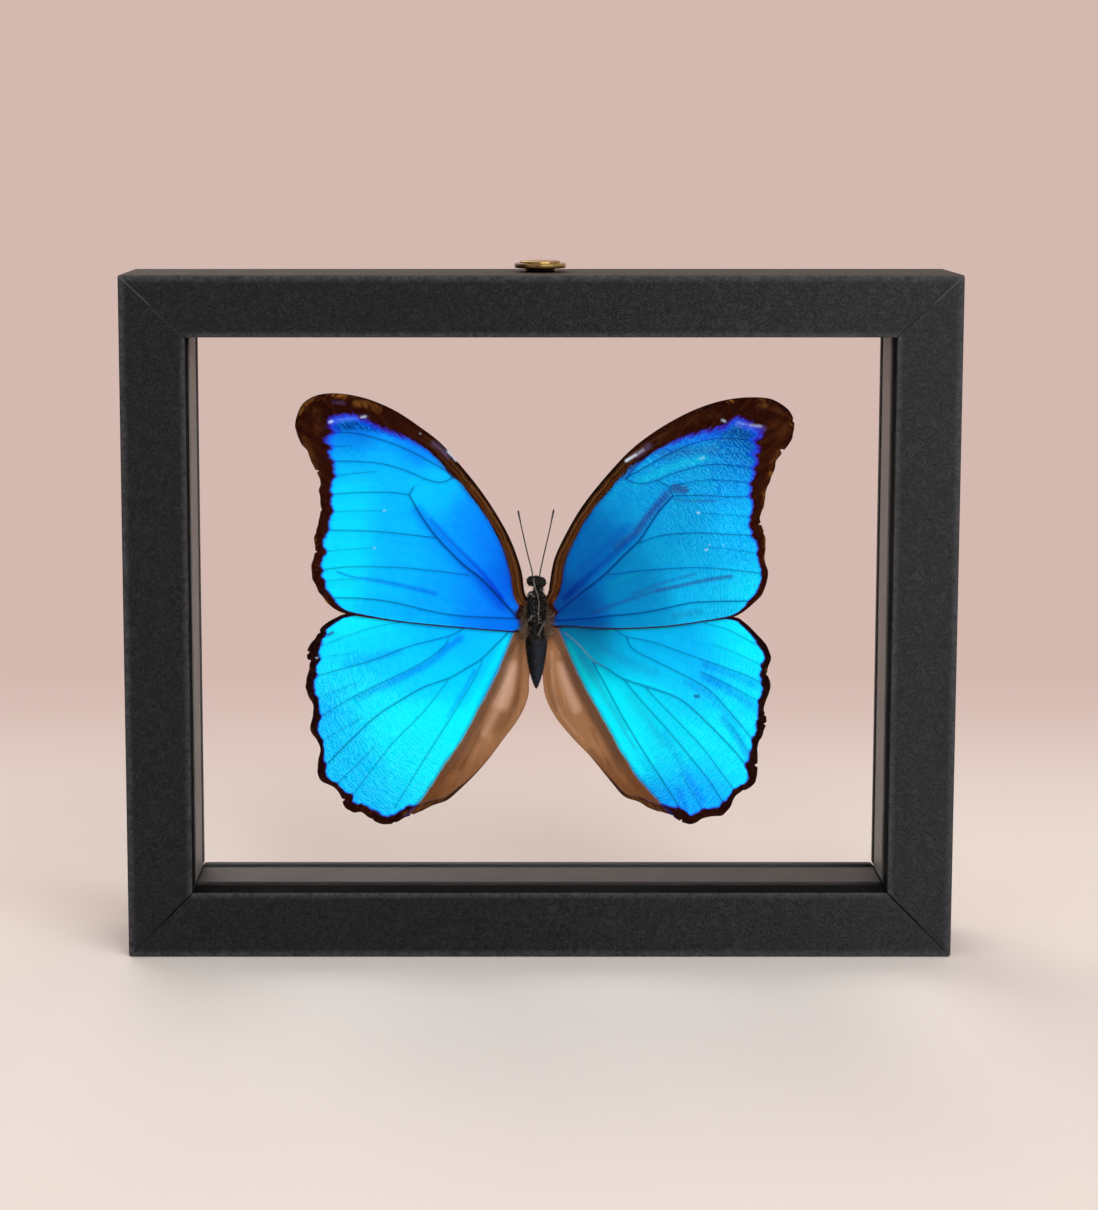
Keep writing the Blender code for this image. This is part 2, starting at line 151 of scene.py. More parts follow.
HINDWING_LEFT_EDGE = [
    (-1.3, -1.0, 0.5), (-19.8, 0.6, 0.5), (-37.5, 2.0, 0.5), (-48.2, 1.2, 0.9), (-51.7, 0.1, 1.2),
    (-55.2, -2.1, 1.5), (-56.7, -4.5, 1.8), (-58.9, -7.6, 2.4), (-59.4, -10.2, 2.5),
    (-58.7, -12.0, 2.0), (-59.4, -15.6, 2.1), (-59.8, -18.6, 2.3), (-58.9, -20.9, 1.9),
    (-57.8, -23.5, 1.6), (-58.3, -27.0, 2.0), (-58.7, -29.7, 2.1), (-57.2, -31.9, 1.4),
    (-56.1, -34.6, 1.0), (-56.7, -37.6, 1.6), (-56.9, -41.2, 2.2), (-55.6, -43.4, 1.8),
    (-52.6, -44.9, 1.2), (-50.8, -47.4, 1.7), (-50.0, -50.0, 2.6), (-48.2, -51.3, 2.7),
    (-45.2, -51.8, 2.2), (-42.1, -54.0, 2.5), (-39.5, -54.9, 2.3), (-36.9, -54.4, 2.2),
    (-34.3, -53.1, 2.3), (-30.3, -51.5, 2.1), (-26.9, -49.8, 1.6), (-23.3, -48.5, 1.1),
    (-20.3, -46.0, 0.9), (-16.3, -42.1, 0.4), (-12.4, -37.6, 0.4), (-8.5, -32.3, 0.4),
    (-5.0, -27.5, 0.4), (-2.9, -23.5, 0.4), (-1.9, -19.8, 0.4), (-1.9, -17.2, 0.4),
    (-1.5, -12.4, 0.4), (-1.4, -8.0, 0.4), (-1.3, -4.0, 0.4),
]
HINDWING_RIGHT_EDGE = [
    (1.3, -1.0, 0.5), (19.8, 0.2, 0.5), (37.5, 1.2, 0.5), (50.4, 0.3, 0.9), (53.8, -1.2, 1.2),
    (57.4, -4.7, 1.4), (59.8, -7.6, 1.6), (60.7, -11.1, 1.8), (59.8, -13.8, 1.6),
    (60.7, -18.2, 2.1), (59.1, -23.5, 1.6), (59.8, -27.5, 2.1), (58.6, -31.2, 2.0),
    (57.6, -33.7, 1.6), (57.6, -37.6, 2.0), (57.4, -42.1, 2.3), (56.0, -44.7, 1.9),
    (52.2, -46.9, 1.4), (50.4, -50.5, 2.1), (48.2, -52.4, 2.5), (44.3, -52.9, 2.1),
    (40.8, -54.7, 2.5), (37.7, -54.0, 2.3), (34.7, -52.2, 2.2), (29.8, -50.7, 1.9),
    (26.8, -48.9, 1.5), (22.9, -47.4, 1.0), (19.4, -43.4, 0.7), (14.1, -36.8, 0.4),
    (9.8, -32.3, 0.4), (5.4, -27.0, 0.4), (2.8, -22.2, 0.4), (1.9, -18.4, 0.4), (1.5, -12.6, 0.4),
    (1.4, -8.6, 0.4), (1.3, -4.0, 0.4),
]

# Veins as (half width at the root end, half width at the far end, darkness, flat route)
FOREWING_LEFT_VEINS = [
    (0.34, 0.16, 0.95, -5.1, 0.3, -13.7, 9.7, -19.1, 14.1, -25.6, 20.9, -29.7, 26.7, -32.8, 32.2),
    (0.16, 0.14, 0.8, -32.8, 32.2, -31.6, 34.2),
    (0.14, 0.1, 0.7, -32.8, 32.2, -37.2, 32.8, -46.1, 32.8, -54.2, 32.2),
    (0.15, 0.1, 0.7, -25.6, 20.9, -32.3, 21.7, -41.6, 22.7, -55.1, 23.1),
    (0.14, 0.1, 0.65, -17.6, 11.2, -26.1, 12.3, -35.1, 13.2, -47.5, 13.5, -56.5, 12.6),
    (0.2, 0.12, 0.8, -5.3, -0.2, -19.4, 0.5, -27.9, 1.9, -35.9, 3.9, -43.9, 5.1, -54.9, 5.5),
    (0.15, 0.12, 0.8, -21.0, 36.9, -28.5, 41.4, -35.1, 44.7, -42.1, 47.1, -48.3, 48.3,
     -55.3, 48.4),
    (0.15, 0.1, 0.75, -21.0, 36.9, -24.3, 35.4, -28.5, 36.2, -32.3, 37.9, -39.5, 40.2, -48.3, 40.9,
     -56.3, 40.7),
    (0.15, 0.1, 0.8, -21.0, 36.9, -26.7, 43.6, -30.6, 46.8),
    (0.1, 0.08, 0.3, -28.5, 36.2, -31.5, 34.2),
    (0.1, 0.08, 0.5, -55.3, 36.8, -51.9, 37.0, -46.5, 37.8, -41.2, 38.2),
    (0.1, 0.08, 0.4, -54.7, 27.8, -46.1, 28.1, -39.3, 28.1),
    (0.1, 0.08, 0.4, -56.2, 17.3, -48.3, 18.1, -41.9, 18.4),
    (0.1, 0.08, 0.45, -56.5, 44.4, -51.5, 44.7, -47.4, 44.8),
    (0.1, 0.08, 0.35, -55.7, 9.6, -50.4, 10.2, -45.8, 10.0),
]
FOREWING_RIGHT_VEINS = [
    (0.3, 0.2, 0.95, 5.5, 1.4, 11.3, 6.3, 17.3, 11.1, 22.0, 15.9, 26.5, 20.4, 29.1, 24.4,
     31.8, 28.4, 35.0, 31.9),
    (0.16, 0.14, 0.7, 35.0, 31.9, 33.8, 34.3, 30.9, 35.8),
    (0.14, 0.1, 0.7, 35.0, 31.9, 42.0, 32.1, 50.9, 31.7, 56.5, 32.0),
    (0.15, 0.1, 0.7, 25.7, 19.3, 30.9, 21.3, 36.3, 22.1, 42.0, 22.3, 48.7, 22.0, 56.9, 21.6),
    (0.14, 0.1, 0.65, 17.3, 11.1, 22.8, 11.9, 33.3, 12.9, 44.3, 13.2, 58.3, 11.8),
    (0.22, 0.12, 0.85, 5.3, -0.7, 13.0, -0.2, 19.8, 0.6, 26.5, 1.3, 33.4, 2.6, 39.8, 4.0,
     46.4, 4.4, 57.1, 4.6),
    (0.14, 0.11, 0.8, 22.6, 36.3, 28.3, 39.6, 33.6, 42.6, 38.4, 44.8, 43.5, 46.4, 48.3, 46.8,
     53.4, 46.5, 59.9, 45.3),
    (0.14, 0.1, 0.75, 22.6, 36.3, 25.3, 35.2, 28.1, 35.2, 30.9, 36.0, 34.2, 37.4, 38.6, 38.8,
     42.7, 39.8, 47.8, 40.1, 57.7, 38.9),
    (0.14, 0.1, 0.8, 22.6, 36.3, 26.5, 40.6, 30.4, 44.5, 33.5, 46.6),
    (0.12, 0.1, 0.6, 33.8, 34.3, 42.1, 35.9, 48.4, 35.9, 56.9, 35.0),
    (0.1, 0.08, 0.4, 42.5, 27.4, 48.7, 27.1, 56.3, 26.4),
    (0.1, 0.08, 0.4, 44.3, 18.7, 50.9, 17.9, 57.7, 16.9),
    (0.1, 0.08, 0.35, 45.4, 42.5, 51.4, 43.0, 58.3, 42.0),
]
HINDWING_LEFT_VEINS = [
    (0.24, 0.16, 0.9, -6.9, -3.6, -13.7, -10.5, -17.6, -13.1, -22.4, -15.9, -28.5, -18.1,
     -33.8, -20.9, -41.6, -26.0, -48.4, -32.5, -55.6, -39.8),
    (0.16, 0.1, 0.7, -13.7, -10.5, -15.5, -15.0, -19.2, -21.6, -24.3, -29.8, -28.8, -37.0,
     -36.9, -50.4),
    (0.14, 0.1, 0.65, -22.4, -15.9, -28.8, -24.3, -37.0, -32.8, -42.9, -40.4, -48.8, -48.2),
    (0.2, 0.12, 0.8, -18.2, -2.4, -22.4, -4.8, -33.0, -7.6, -41.6, -10.9, -48.5, -12.9,
     -57.5, -15.4),
    (0.16, 0.1, 0.7, -22.4, -4.8, -24.1, -7.9, -30.6, -12.5, -38.2, -16.2, -48.5, -21.4,
     -56.7, -26.6),
    (0.12, 0.1, 0.55, -34.0, -1.0, -41.7, -2.4, -48.6, -4.6, -57.2, -8.0),
    (0.1, 0.1, 0.5, -45.2, -26.2, -50.9, -29.7, -56.9, -33.2),
    (0.1, 0.12, 0.6, -42.1, -34.0, -46.0, -38.1, -51.6, -43.6),
    (0.1, 0.08, 0.4, -46.4, -9.0, -53.1, -10.0, -57.2, -11.1),
    (0.1, 0.08, 0.4, -46.9, -17.2, -52.4, -19.3, -57.5, -21.4),
]
HINDWING_RIGHT_VEINS = [
    (0.22, 0.14, 0.8, 7.3, -4.1, 10.7, -6.9, 14.6, -11.1, 18.5, -13.6, 22.4, -16.1, 27.9, -18.0,
     32.9, -19.6, 37.0, -21.4, 40.3, -23.8, 46.6, -29.9, 52.2, -35.9, 56.0, -41.2),
    (0.12, 0.1, 0.7, 27.9, -18.0, 32.6, -23.0, 37.5, -28.1, 43.4, -34.5, 47.7, -40.3, 51.8, -45.8),
    (0.14, 0.12, 0.75, 22.4, -16.1, 27.7, -22.4, 34.2, -29.7, 40.7, -37.6, 45.3, -43.4,
     49.3, -49.9),
    (0.16, 0.12, 0.8, 14.7, -11.9, 18.3, -18.6, 22.3, -26.0, 27.9, -35.4, 33.2, -43.6,
     39.2, -53.0),
    (0.12, 0.1, 0.7, 20.4, -3.1, 23.1, -4.9, 30.6, -6.6, 39.0, -9.6, 47.7, -12.7, 53.7, -14.9,
     58.7, -17.3),
    (0.14, 0.1, 0.75, 23.1, -4.9, 25.3, -8.5, 32.0, -12.0, 37.9, -15.0, 44.5, -18.8, 50.4, -25.0,
     56.6, -32.6),
    (0.1, 0.1, 0.6, 42.5, -14.2, 49.5, -17.5, 58.5, -22.4),
    (0.12, 0.1, 0.6, 43.4, -1.4, 49.7, -3.2, 58.2, -7.8),
    (0.1, 0.08, 0.45, 45.8, -7.0, 52.4, -9.6, 59.3, -13.0),
    (0.1, 0.08, 0.45, 50.2, -27.8, 53.4, -32.6, 56.3, -37.4),
    (0.1, 0.1, 0.5, 37.7, -41.2, 40.3, -45.6, 44.1, -51.6),
]

# The line between the blue and the brown inner panel of each hindwing, from the root outwards
PANEL_LEFT = [
    (-4.9, -1.5), (-9.8, -13.8), (-13.7, -21.7), (-19.9, -33.2), (-24.2, -39.4), (-27.7, -45.1),
    (-31.2, -49.8), (-36.1, -56.0),
]
PANEL_RIGHT = [
    (5.1, -1.5), (10.7, -14.7), (15.0, -22.6), (18.5, -28.8), (22.9, -36.8), (26.8, -42.9),
    (31.2, -47.8), (38.0, -55.5),
]

# Washes of the blue as (x, z, hue from deep blue to cyan, lightness); the lightness is partly the
# blue's own tone and partly painted light and shade, darkest over the right forewing
FOREWING_LEFT_WASHES = [
    (-50.9, 44.4, 0.76, 0.9), (-37.5, 42.5, 0.66, 0.92), (-25.7, 33.8, 0.7, 0.92),
    (-15.2, 27.4, 0.4, 0.91), (-10.3, 21.5, 0.22, 0.86), (-7.5, 12.0, 0.1, 0.8),
    (-14.3, 15.5, 0.42, 0.91), (-21.7, 20.5, 0.56, 0.91), (-48.4, 26.0, 0.84, 0.91),
    (-35.6, 23.5, 0.64, 0.91), (-50.9, 15.5, 0.88, 0.91), (-35.6, 14.0, 0.64, 0.91),
    (-50.9, 7.6, 0.96, 0.9), (-40.5, 4.0, 0.68, 0.9), (-23.7, 8.0, 0.55, 0.91),
    (-14.8, 3.0, 0.36, 0.91), (-9.4, -2.0, 0.24, 0.87), (-30.6, 47.6, 0.3, 0.85),
    (-46.4, 51.4, 0.16, 0.8), (-52.6, 50.4, 0.2, 0.8), (-27.7, 0.0, 0.62, 0.9),
]
FOREWING_RIGHT_WASHES = [
    (7.3, 4.0, 0.3, 0.44), (11.4, 15.0, 0.46, 0.59), (14.9, 23.5, 0.49, 0.59),
    (21.7, 30.5, 0.63, 0.73), (28.7, 35.8, 0.61, 0.77), (39.5, 41.0, 0.68, 0.8),
    (35.6, 45.6, 0.46, 0.7), (53.4, 45.0, 0.3, 0.64), (45.4, 37.6, 0.54, 0.73),
    (51.9, 33.5, 0.54, 0.84), (38.5, 27.4, 0.63, 0.76), (51.4, 26.5, 0.72, 0.89),
    (34.6, 19.0, 0.66, 0.72), (52.4, 19.0, 0.62, 0.87), (21.7, 11.0, 0.62, 0.64),
    (41.5, 14.8, 0.68, 0.79), (54.3, 8.6, 0.86, 0.9), (41.5, 6.6, 0.71, 0.84),
    (26.7, 5.0, 0.62, 0.64), (43.5, 1.0, 0.76, 0.82), (28.7, -0.6, 0.65, 0.73),
    (9.4, -1.6, 0.42, 0.52),
]
HINDWING_LEFT_WASHES = [
    (-47.4, -1.6, 1.0, 0.96), (-54.3, -7.0, 0.84, 0.95), (-39.5, -6.0, 0.78, 0.96),
    (-25.2, -2.8, 0.66, 0.94), (-19.8, -5.6, 0.6, 0.96), (-43.5, -11.5, 0.7, 0.96),
    (-51.4, -15.5, 0.9, 0.96), (-53.8, -24.0, 0.64, 0.94), (-31.6, -13.0, 0.74, 0.96),
    (-12.8, -8.2, 0.74, 0.94), (-43.5, -23.0, 0.98, 0.96), (-21.7, -15.5, 0.82, 0.93),
    (-25.2, -29.4, 1.02, 0.96), (-37.5, -32.0, 1.03, 0.97), (-49.4, -33.0, 0.72, 0.94),
    (-43.7, -41.8, 0.74, 0.95), (-30.1, -39.9, 1.0, 0.96), (-41.5, -49.5, 0.65, 0.94),
    (-34.6, -47.5, 0.9, 0.96),
]
HINDWING_RIGHT_WASHES = [
    (13.6, -5.4, 0.6, 0.44), (21.7, -10.0, 0.76, 0.81), (30.6, -4.8, 0.7, 0.82),
    (39.5, -6.4, 0.68, 0.84), (49.4, -5.8, 0.86, 0.93), (55.6, -7.0, 1.03, 0.95),
    (43.1, -14.2, 0.62, 0.92), (53.4, -16.0, 0.82, 0.95), (33.6, -15.5, 0.77, 0.88),
    (40.0, -20.4, 0.82, 0.92), (53.4, -25.0, 0.9, 0.96), (28.2, -22.5, 0.96, 0.88),
    (17.3, -22.5, 1.05, 0.91), (10.7, -12.0, 1.0, 0.7), (21.2, -33.0, 1.0, 0.95),
    (34.6, -31.0, 0.93, 0.91), (45.0, -33.0, 0.98, 0.95), (52.9, -37.5, 0.95, 0.97),
    (31.1, -39.5, 0.97, 0.92), (43.0, -44.5, 0.62, 0.95), (30.6, -46.0, 0.46, 0.86),
    (40.5, -50.5, 0.58, 0.95),
]

# Soft strokes as (half width, softness, strength, flat route)
FOREWING_LEFT_STROKES = {
    # The strokes that deepen the blue are painted shade in folds and beside veins.
    "deep": [
        (0.35, 0.7, 0.6, -27.2, 25.6, -21.7, 19.6, -14.3, 12.0, -8.8, 5.0),
        (0.14, 0.4, 0.7, -51.2, 12.1, -47.8, 10.9, -43.9, 10.3),
        (0.16, 0.8, 0.5, -43.9, 10.3, -35.1, 8.6, -26.1, 6.3),
        (0.6, 2.0, 0.35, -30.6, 28.0, -18.8, 14.6, -8.9, 3.2),
    ],
    "mottle": [
        (0.8, 0.9, 1.0, -55.0, 48.4, -51.0, 49.7, -46.0, 50.1, -40.0, 49.3, -34.0, 47.6),
        (0.6, 1.6, 0.8, -42.0, 52.4, -34.0, 50.0, -28.0, 46.6),
    ],
    # Painted highlights: white glints on the glossy costa and small sparkles.
    "glint": [
        (0.08, 0.55, 0.85, -22.8, 43.4, -21.6, 42.2, -20.6, 41.0),
        (0.08, 0.6, 0.75, -53.0, 51.0, -52.4, 51.2),
        (0.08, 0.5, 0.7, -44.9, 52.2, -43.9, 52.4),
        (0.06, 0.4, 0.16, -51.6, 51.6, -48.4, 51.8, -45.4, 52.1),
        (0.05, 0.35, 0.5, -39.3, 28.1, -38.9, 28.1),
        (0.05, 0.35, 0.45, -41.9, 18.3, -41.6, 18.2),
        (0.1, 0.14, 0.6, -29.9, 48.0, -29.8, 47.9),
    ],
    # Painted sheen: a soft lilac glow round the highlights.
    "lilac": [
        (0.25, 1.0, 0.5, -26.4, 45.4, -24.6, 44.2, -22.5, 42.0),
        (0.15, 0.6, 0.4, -52.0, 56.2, -49.4, 55.8),
        (0.4, 0.9, 0.3, -53.2, 50.6, -48.4, 52.0, -43.5, 52.2),
    ],
    "warm": [
        (0.55, 0.5, 0.95, -4.1, 4.0, -5.2, 12.0, -8.3, 20.0, -12.1, 27.4, -17.2, 34.6),
        (0.35, 0.4, 0.7, -4.9, 3.0, -6.6, 12.0, -9.2, 19.0),
        (0.7, 0.7, 0.9, -46.4, 55.8, -43.5, 55.5, -40.5, 54.3),
        (0.45, 0.5, 1.0, -60.9, 53.4, -59.4, 55.6, -57.6, 56.9),
        (0.5, 1.2, 0.4, -59.9, 46.4, -58.1, 42.5, -56.5, 37.0),
        (0.7, 1.2, 0.25, -56.4, 53.6, -55.8, 49.0),
    ],
}
FOREWING_RIGHT_STROKES = {
    "deep": [
        (0.3, 0.9, 0.45, 33.6, 32.6, 28.9, 26.9, 25.3, 21.8),
        (0.5, 1.1, 0.6, 25.3, 21.6, 18.8, 15.8, 12.8, 10.4, 7.5, 5.2),
        (0.3, 1.6, 0.25, 23.7, 24.0, 11.9, 12.6),
    ],
    # The mauve strokes are mauve patches and painted shade along creases.
    "dusk": [
        (0.8, 0.8, 0.95, 35.4, 33.9, 37.9, 33.5),
        (0.5, 1.3, 0.65, 33.6, 32.4, 29.4, 27.6, 25.8, 22.6),
        (0.4, 1.0, 0.4, 25.8, 22.6, 20.4, 18.6),
        (0.12, 0.5, 0.45, 35.5, 30.9, 39.8, 30.6, 46.0, 30.6),
        (0.12, 0.7, 0.75, 31.0, 7.2, 37.5, 8.6, 44.3, 10.1, 50.2, 11.0),
        (0.1, 0.7, 0.35, 14.4, 1.2, 22.8, 4.4, 31.0, 7.2),
        (0.08, 0.6, 0.35, 24.6, 6.2, 33.2, 9.4, 41.0, 11.6),
        (0.3, 1.2, 0.22, 35.6, 0.4, 41.9, 1.6),
        (0.7, 1.4, 0.35, 32.6, 42.6, 39.1, 43.4, 45.4, 43.9),
    ],
    "mottle": [
        (1.0, 2.2, 0.6, 36.6, 47.6, 44.5, 48.9, 53.4, 47.6, 56.9, 43.0, 55.9, 37.6),
        (1.2, 2.4, 0.75, 44.6, 48.4, 52.0, 48.2, 57.4, 46.6),
    ],
    "glint": [
        (0.08, 0.6, 0.8, 22.9, 40.9, 24.3, 41.8, 25.4, 42.5),
        (0.08, 0.7, 0.35, 25.4, 42.5, 27.2, 43.7),
        (0.08, 0.5, 0.65, 47.4, 51.5, 48.1, 51.2),
        (0.05, 0.6, 0.25, 51.4, 50.8, 54.7, 50.2),
        (0.08, 0.6, 0.45, 54.7, 50.2, 57.3, 49.9),
        (0.07, 0.4, 0.75, 41.4, 27.6, 41.7, 27.5),
        (0.07, 0.4, 0.65, 43.5, 17.9, 43.8, 17.9),
        (0.04, 0.3, 0.45, 44.5, 19.2, 44.6, 19.2),
        (0.04, 0.3, 0.45, 48.1, 19.2, 48.2, 19.2),
        (0.06, 0.5, 0.35, 41.9, 41.5, 42.8, 41.8),
    ],
    "lilac": [
        (0.35, 0.9, 0.5, 25.9, 42.4, 28.7, 44.8),
        (0.45, 0.9, 0.45, 51.4, 50.4, 55.3, 49.6, 58.1, 49.4),
    ],
    "warm": [
        (0.4, 0.4, 0.7, 3.9, 5.4, 4.9, 12.0, 7.1, 18.2, 10.5, 24.8, 14.8, 31.2),
        (0.3, 0.35, 0.95, 4.5, 3.4, 5.8, 10.4, 7.4, 15.6, 9.5, 20.4, 12.8, 27.0),
        (0.6, 1.6, 0.22, 60.8, 50.4, 63.6, 49.4, 62.0, 47.6),
        (0.4, 1.0, 0.4, 62.4, 43.6, 60.4, 40.4),
        (0.3, 0.9, 0.3, 56.3, 55.6, 61.0, 54.4, 63.4, 53.0),
        (0.4, 1.4, 0.12, 30.6, 47.0, 39.5, 51.4, 46.4, 53.0),
    ],
    "bright": [
        (0.4, 1.0, 0.6, 25.3, 34.8, 30.6, 37.3, 36.0, 39.6, 42.9, 41.8),
        (0.2, 0.6, 0.5, 28.0, 36.8, 33.2, 39.4, 38.4, 41.4),
        (0.1, 0.16, 0.5, 19.3, 29.0, 13.5, 22.0, 9.9, 14.5, 7.7, 8.2),
        (0.14, 0.22, 0.5, 19.2, 8.8, 23.7, 10.9, 26.1, 11.8),
    ],
}
HINDWING_LEFT_STROKES = {
    "deep": [
        (0.5, 1.2, 0.46, -46.4, -21.2, -40.5, -18.5, -34.6, -15.6, -27.7, -12.0, -23.1, -8.0,
         -19.8, -5.6),
        (0.6, 1.2, 0.26, -49.4, -12.2, -42.5, -10.6, -35.6, -9.0),
        (0.3, 0.5, 0.4, -16.0, -14.0, -19.4, -20.4, -23.1, -26.4),
    ],
    "dusk": [(0.3, 0.25, 0.9, -54.1, -4.6, -52.7, -3.9)],
    "glint": [(0.05, 0.3, 0.8, -56.9, -10.5, -56.7, -10.4)],
    "warm": [
        (0.4, 0.6, 0.75, -34.2, -52.0, -28.7, -49.9, -24.7, -48.0),
        (0.3, 0.3, 0.9, -58.1, -5.6, -57.5, -4.9),
        (0.25, 0.25, 0.9, -58.9, -12.4, -58.7, -13.4),
        (0.25, 0.25, 0.9, -58.9, -20.8, -58.4, -21.8),
    ],
    "bright": [(0.6, 1.0, 0.5, -7.9, -6.0, -14.2, -18.4, -20.4, -30.0, -26.7, -40.6)],
}
HINDWING_RIGHT_STROKES = {
    "deep": [
        (0.4, 1.6, 0.36, 43.5, -15.4, 50.4, -19.2, 57.9, -24.4),
        (0.3, 1.4, 0.28, 39.1, -17.2, 45.4, -21.0, 52.4, -28.4),
        (0.4, 1.5, 0.5, 48.8, -26.6, 52.4, -31.6, 55.9, -38.4),
        (0.3, 1.5, 0.3, 43.5, -12.4, 50.0, -14.6, 56.9, -17.8),
        (0.3, 1.4, 0.3, 37.0, -45.4, 38.9, -50.6),
        (0.3, 1.5, 0.28, 33.2, -30.6, 38.1, -39.6, 43.3, -48.4),
    ],
    "dusk": [
        (0.3, 1.2, 0.24, 11.7, -10.4, 15.2, -16.6, 19.4, -23.4, 23.1, -29.6),
        (0.12, 0.6, 0.3, 14.0, -12.6, 16.8, -18.6, 20.7, -26.4, 25.7, -34.6),
        (0.3, 0.3, 1.0, 41.3, -20.7, 42.0, -20.8),
        (0.2, 1.6, 0.14, 24.7, -20.6, 29.0, -27.0, 33.0, -33.6),
        (0.3, 1.8, 0.14, 16.8, -8.0, 23.7, -11.6, 30.6, -14.8),
    ],
    "glint": [(0.02, 0.2, 0.3, 7.3, -4.0, 10.7, -6.8, 14.6, -11.0, 18.5, -13.4)],
    "warm": [
        (0.4, 0.6, 0.75, 33.2, -51.2, 28.7, -49.4, 24.3, -47.0),
        (0.25, 0.25, 0.7, 59.6, -13.4, 59.7, -14.2),
    ],
    "bright": [
        (0.5, 0.7, 0.9, 8.1, -7.2, 12.3, -15.4, 16.8, -23.6, 22.1, -32.6, 27.7, -41.0),
        (0.35, 0.5, 0.55, 16.2, -13.4, 19.8, -20.4, 24.7, -28.8, 30.6, -38.4),
        (0.12, 0.14, 0.9, 8.5, -4.9, 11.1, -7.6, 14.4, -10.9),
        (0.14, 0.2, 0.6, 23.1, -15.4, 29.2, -17.3, 35.6, -19.8),
        (0.1, 0.12, 0.7, 18.8, -3.5, 27.7, -3.0, 37.5, -2.6),
    ],
}

# Eyespots of the wings' undersides as (x, z, radius)
FOREWING_EYESPOTS = [(44.0, 38.0, 2.6), (45.5, 27.5, 3.0), (46.5, 17.5, 3.2), (45.0, 8.0, 2.4)]
HINDWING_EYESPOTS = [(39.0, -9.0, 4.2), (42.0, -26.0, 2.9), (37.5, -34.5, 3.2), (29.5, -40.0, 3.0)]
# Pale bands of the undersides as soft strokes, for the right side
FOREWING_BANDS = [
    (0.9, 0.5, 0.9, 22.0, 35.0, 24.5, 25.0, 26.0, 14.0, 25.0, 3.0),
    (0.6, 0.5, 0.8, 36.0, 44.0, 38.0, 30.0, 39.0, 16.0, 37.5, 2.0),
    (0.35, 0.3, 0.9, 55.0, 48.0, 54.5, 32.0, 55.0, 18.0, 53.0, 6.0),
    (0.5, 0.4, 0.7, 12.0, 20.0, 14.0, 11.0, 13.0, 2.0),
]
HINDWING_BANDS = [
    (1.0, 0.6, 0.9, 27.0, -3.0, 25.0, -14.0, 20.0, -24.0, 13.0, -32.0),
    (0.4, 0.3, 0.9, 54.5, -6.0, 54.5, -20.0, 51.0, -36.0, 42.0, -47.0, 30.0, -46.5),
    (0.4, 0.3, 0.7, 51.0, -8.0, 51.0, -20.0, 47.5, -34.0, 39.0, -43.5, 29.0, -44.5),
    (0.5, 0.4, 0.7, 12.0, -4.0, 12.0, -12.0, 8.0, -22.0),
]

# Painted highlights on the hindwings' inner panels, as soft strokes
PANEL_HIGHLIGHT_LEFT = [
    (0.5, 2.6, 0.85, -6.6, -13.0, -7.8, -18.5, -9.4, -23.0),
    (0.3, 1.6, 0.4, -10.4, -25.0, -13.4, -31.0),
]
PANEL_HIGHLIGHT_RIGHT = [
    (0.5, 1.8, 0.6, 6.6, -13.0, 8.4, -19.0, 10.4, -24.0),
    (0.1, 0.6, 0.25, 4.0, -9.0, 4.4, -18.0, 6.2, -25.0, 10.6, -31.0),
]
# Painted shade in the folds on them
SHADE_LEFT = [
    (0.3, 1.2, 0.75, -3.9, -6.0, -4.5, -16.5, -5.6, -23.0, -8.4, -29.0),
    (0.9, 2.2, 0.6, -8.2, -26.4, -9.6, -29.6),
    (0.5, 1.2, 0.5, -15.0, -31.4, -20.0, -40.0),
]
SHADE_RIGHT = [
    (1.2, 1.7, 0.9, 8.2, -11.0, 11.4, -18.4, 14.4, -24.6, 18.4, -31.6, 21.6, -37.4),
    (0.3, 1.0, 0.45, 3.0, -12.0, 3.2, -19.0, 5.0, -24.6),
    (0.6, 1.6, 0.6, 14.6, -35.6, 19.6, -41.6, 24.0, -46.0),
]

# How strongly each wing is ruffled towards its margin
RUFFLES = {
    "forewing_left": 0.12, "forewing_right": 0.6, "hindwing_left": 1.0, "hindwing_right": 0.6,
}
# How dark each wing's veins are
VEIN_INKS = {
    "forewing_left": 0.8, "forewing_right": 0.85, "hindwing_left": 0.6, "hindwing_right": 0.72,
}

# The trunk from the tip of the abdomen to the neck as (z, half width, half depth, depth of its
# middle); the lobes that stand out from it as (x, depth, z, radii)
TRUNK = [
    (-19.0, 0.2, 0.2, 0.5), (-18.4, 0.5, 0.45, 0.5), (-17.6, 0.85, 0.8, 0.5),
    (-15.5, 1.55, 1.45, 0.45), (-12.5, 2.25, 2.1, 0.4), (-9.0, 2.74, 2.45, 0.3),
    (-6.4, 2.85, 2.5, 0.2), (-5.2, 2.5, 2.25, 0.1), (-4.2, 2.15, 2.1, 0.0), (-2.0, 2.35, 2.5, 0.0),
    (1.0, 2.4, 2.55, 0.0), (3.6, 2.0, 2.2, 0.0), (5.6, 1.2, 1.5, 0.0), (7.0, 0.7, 0.9, 0.1),
    (8.4, 0.7, 0.8, 0.1), (9.6, 0.5, 0.5, 0.1),
]
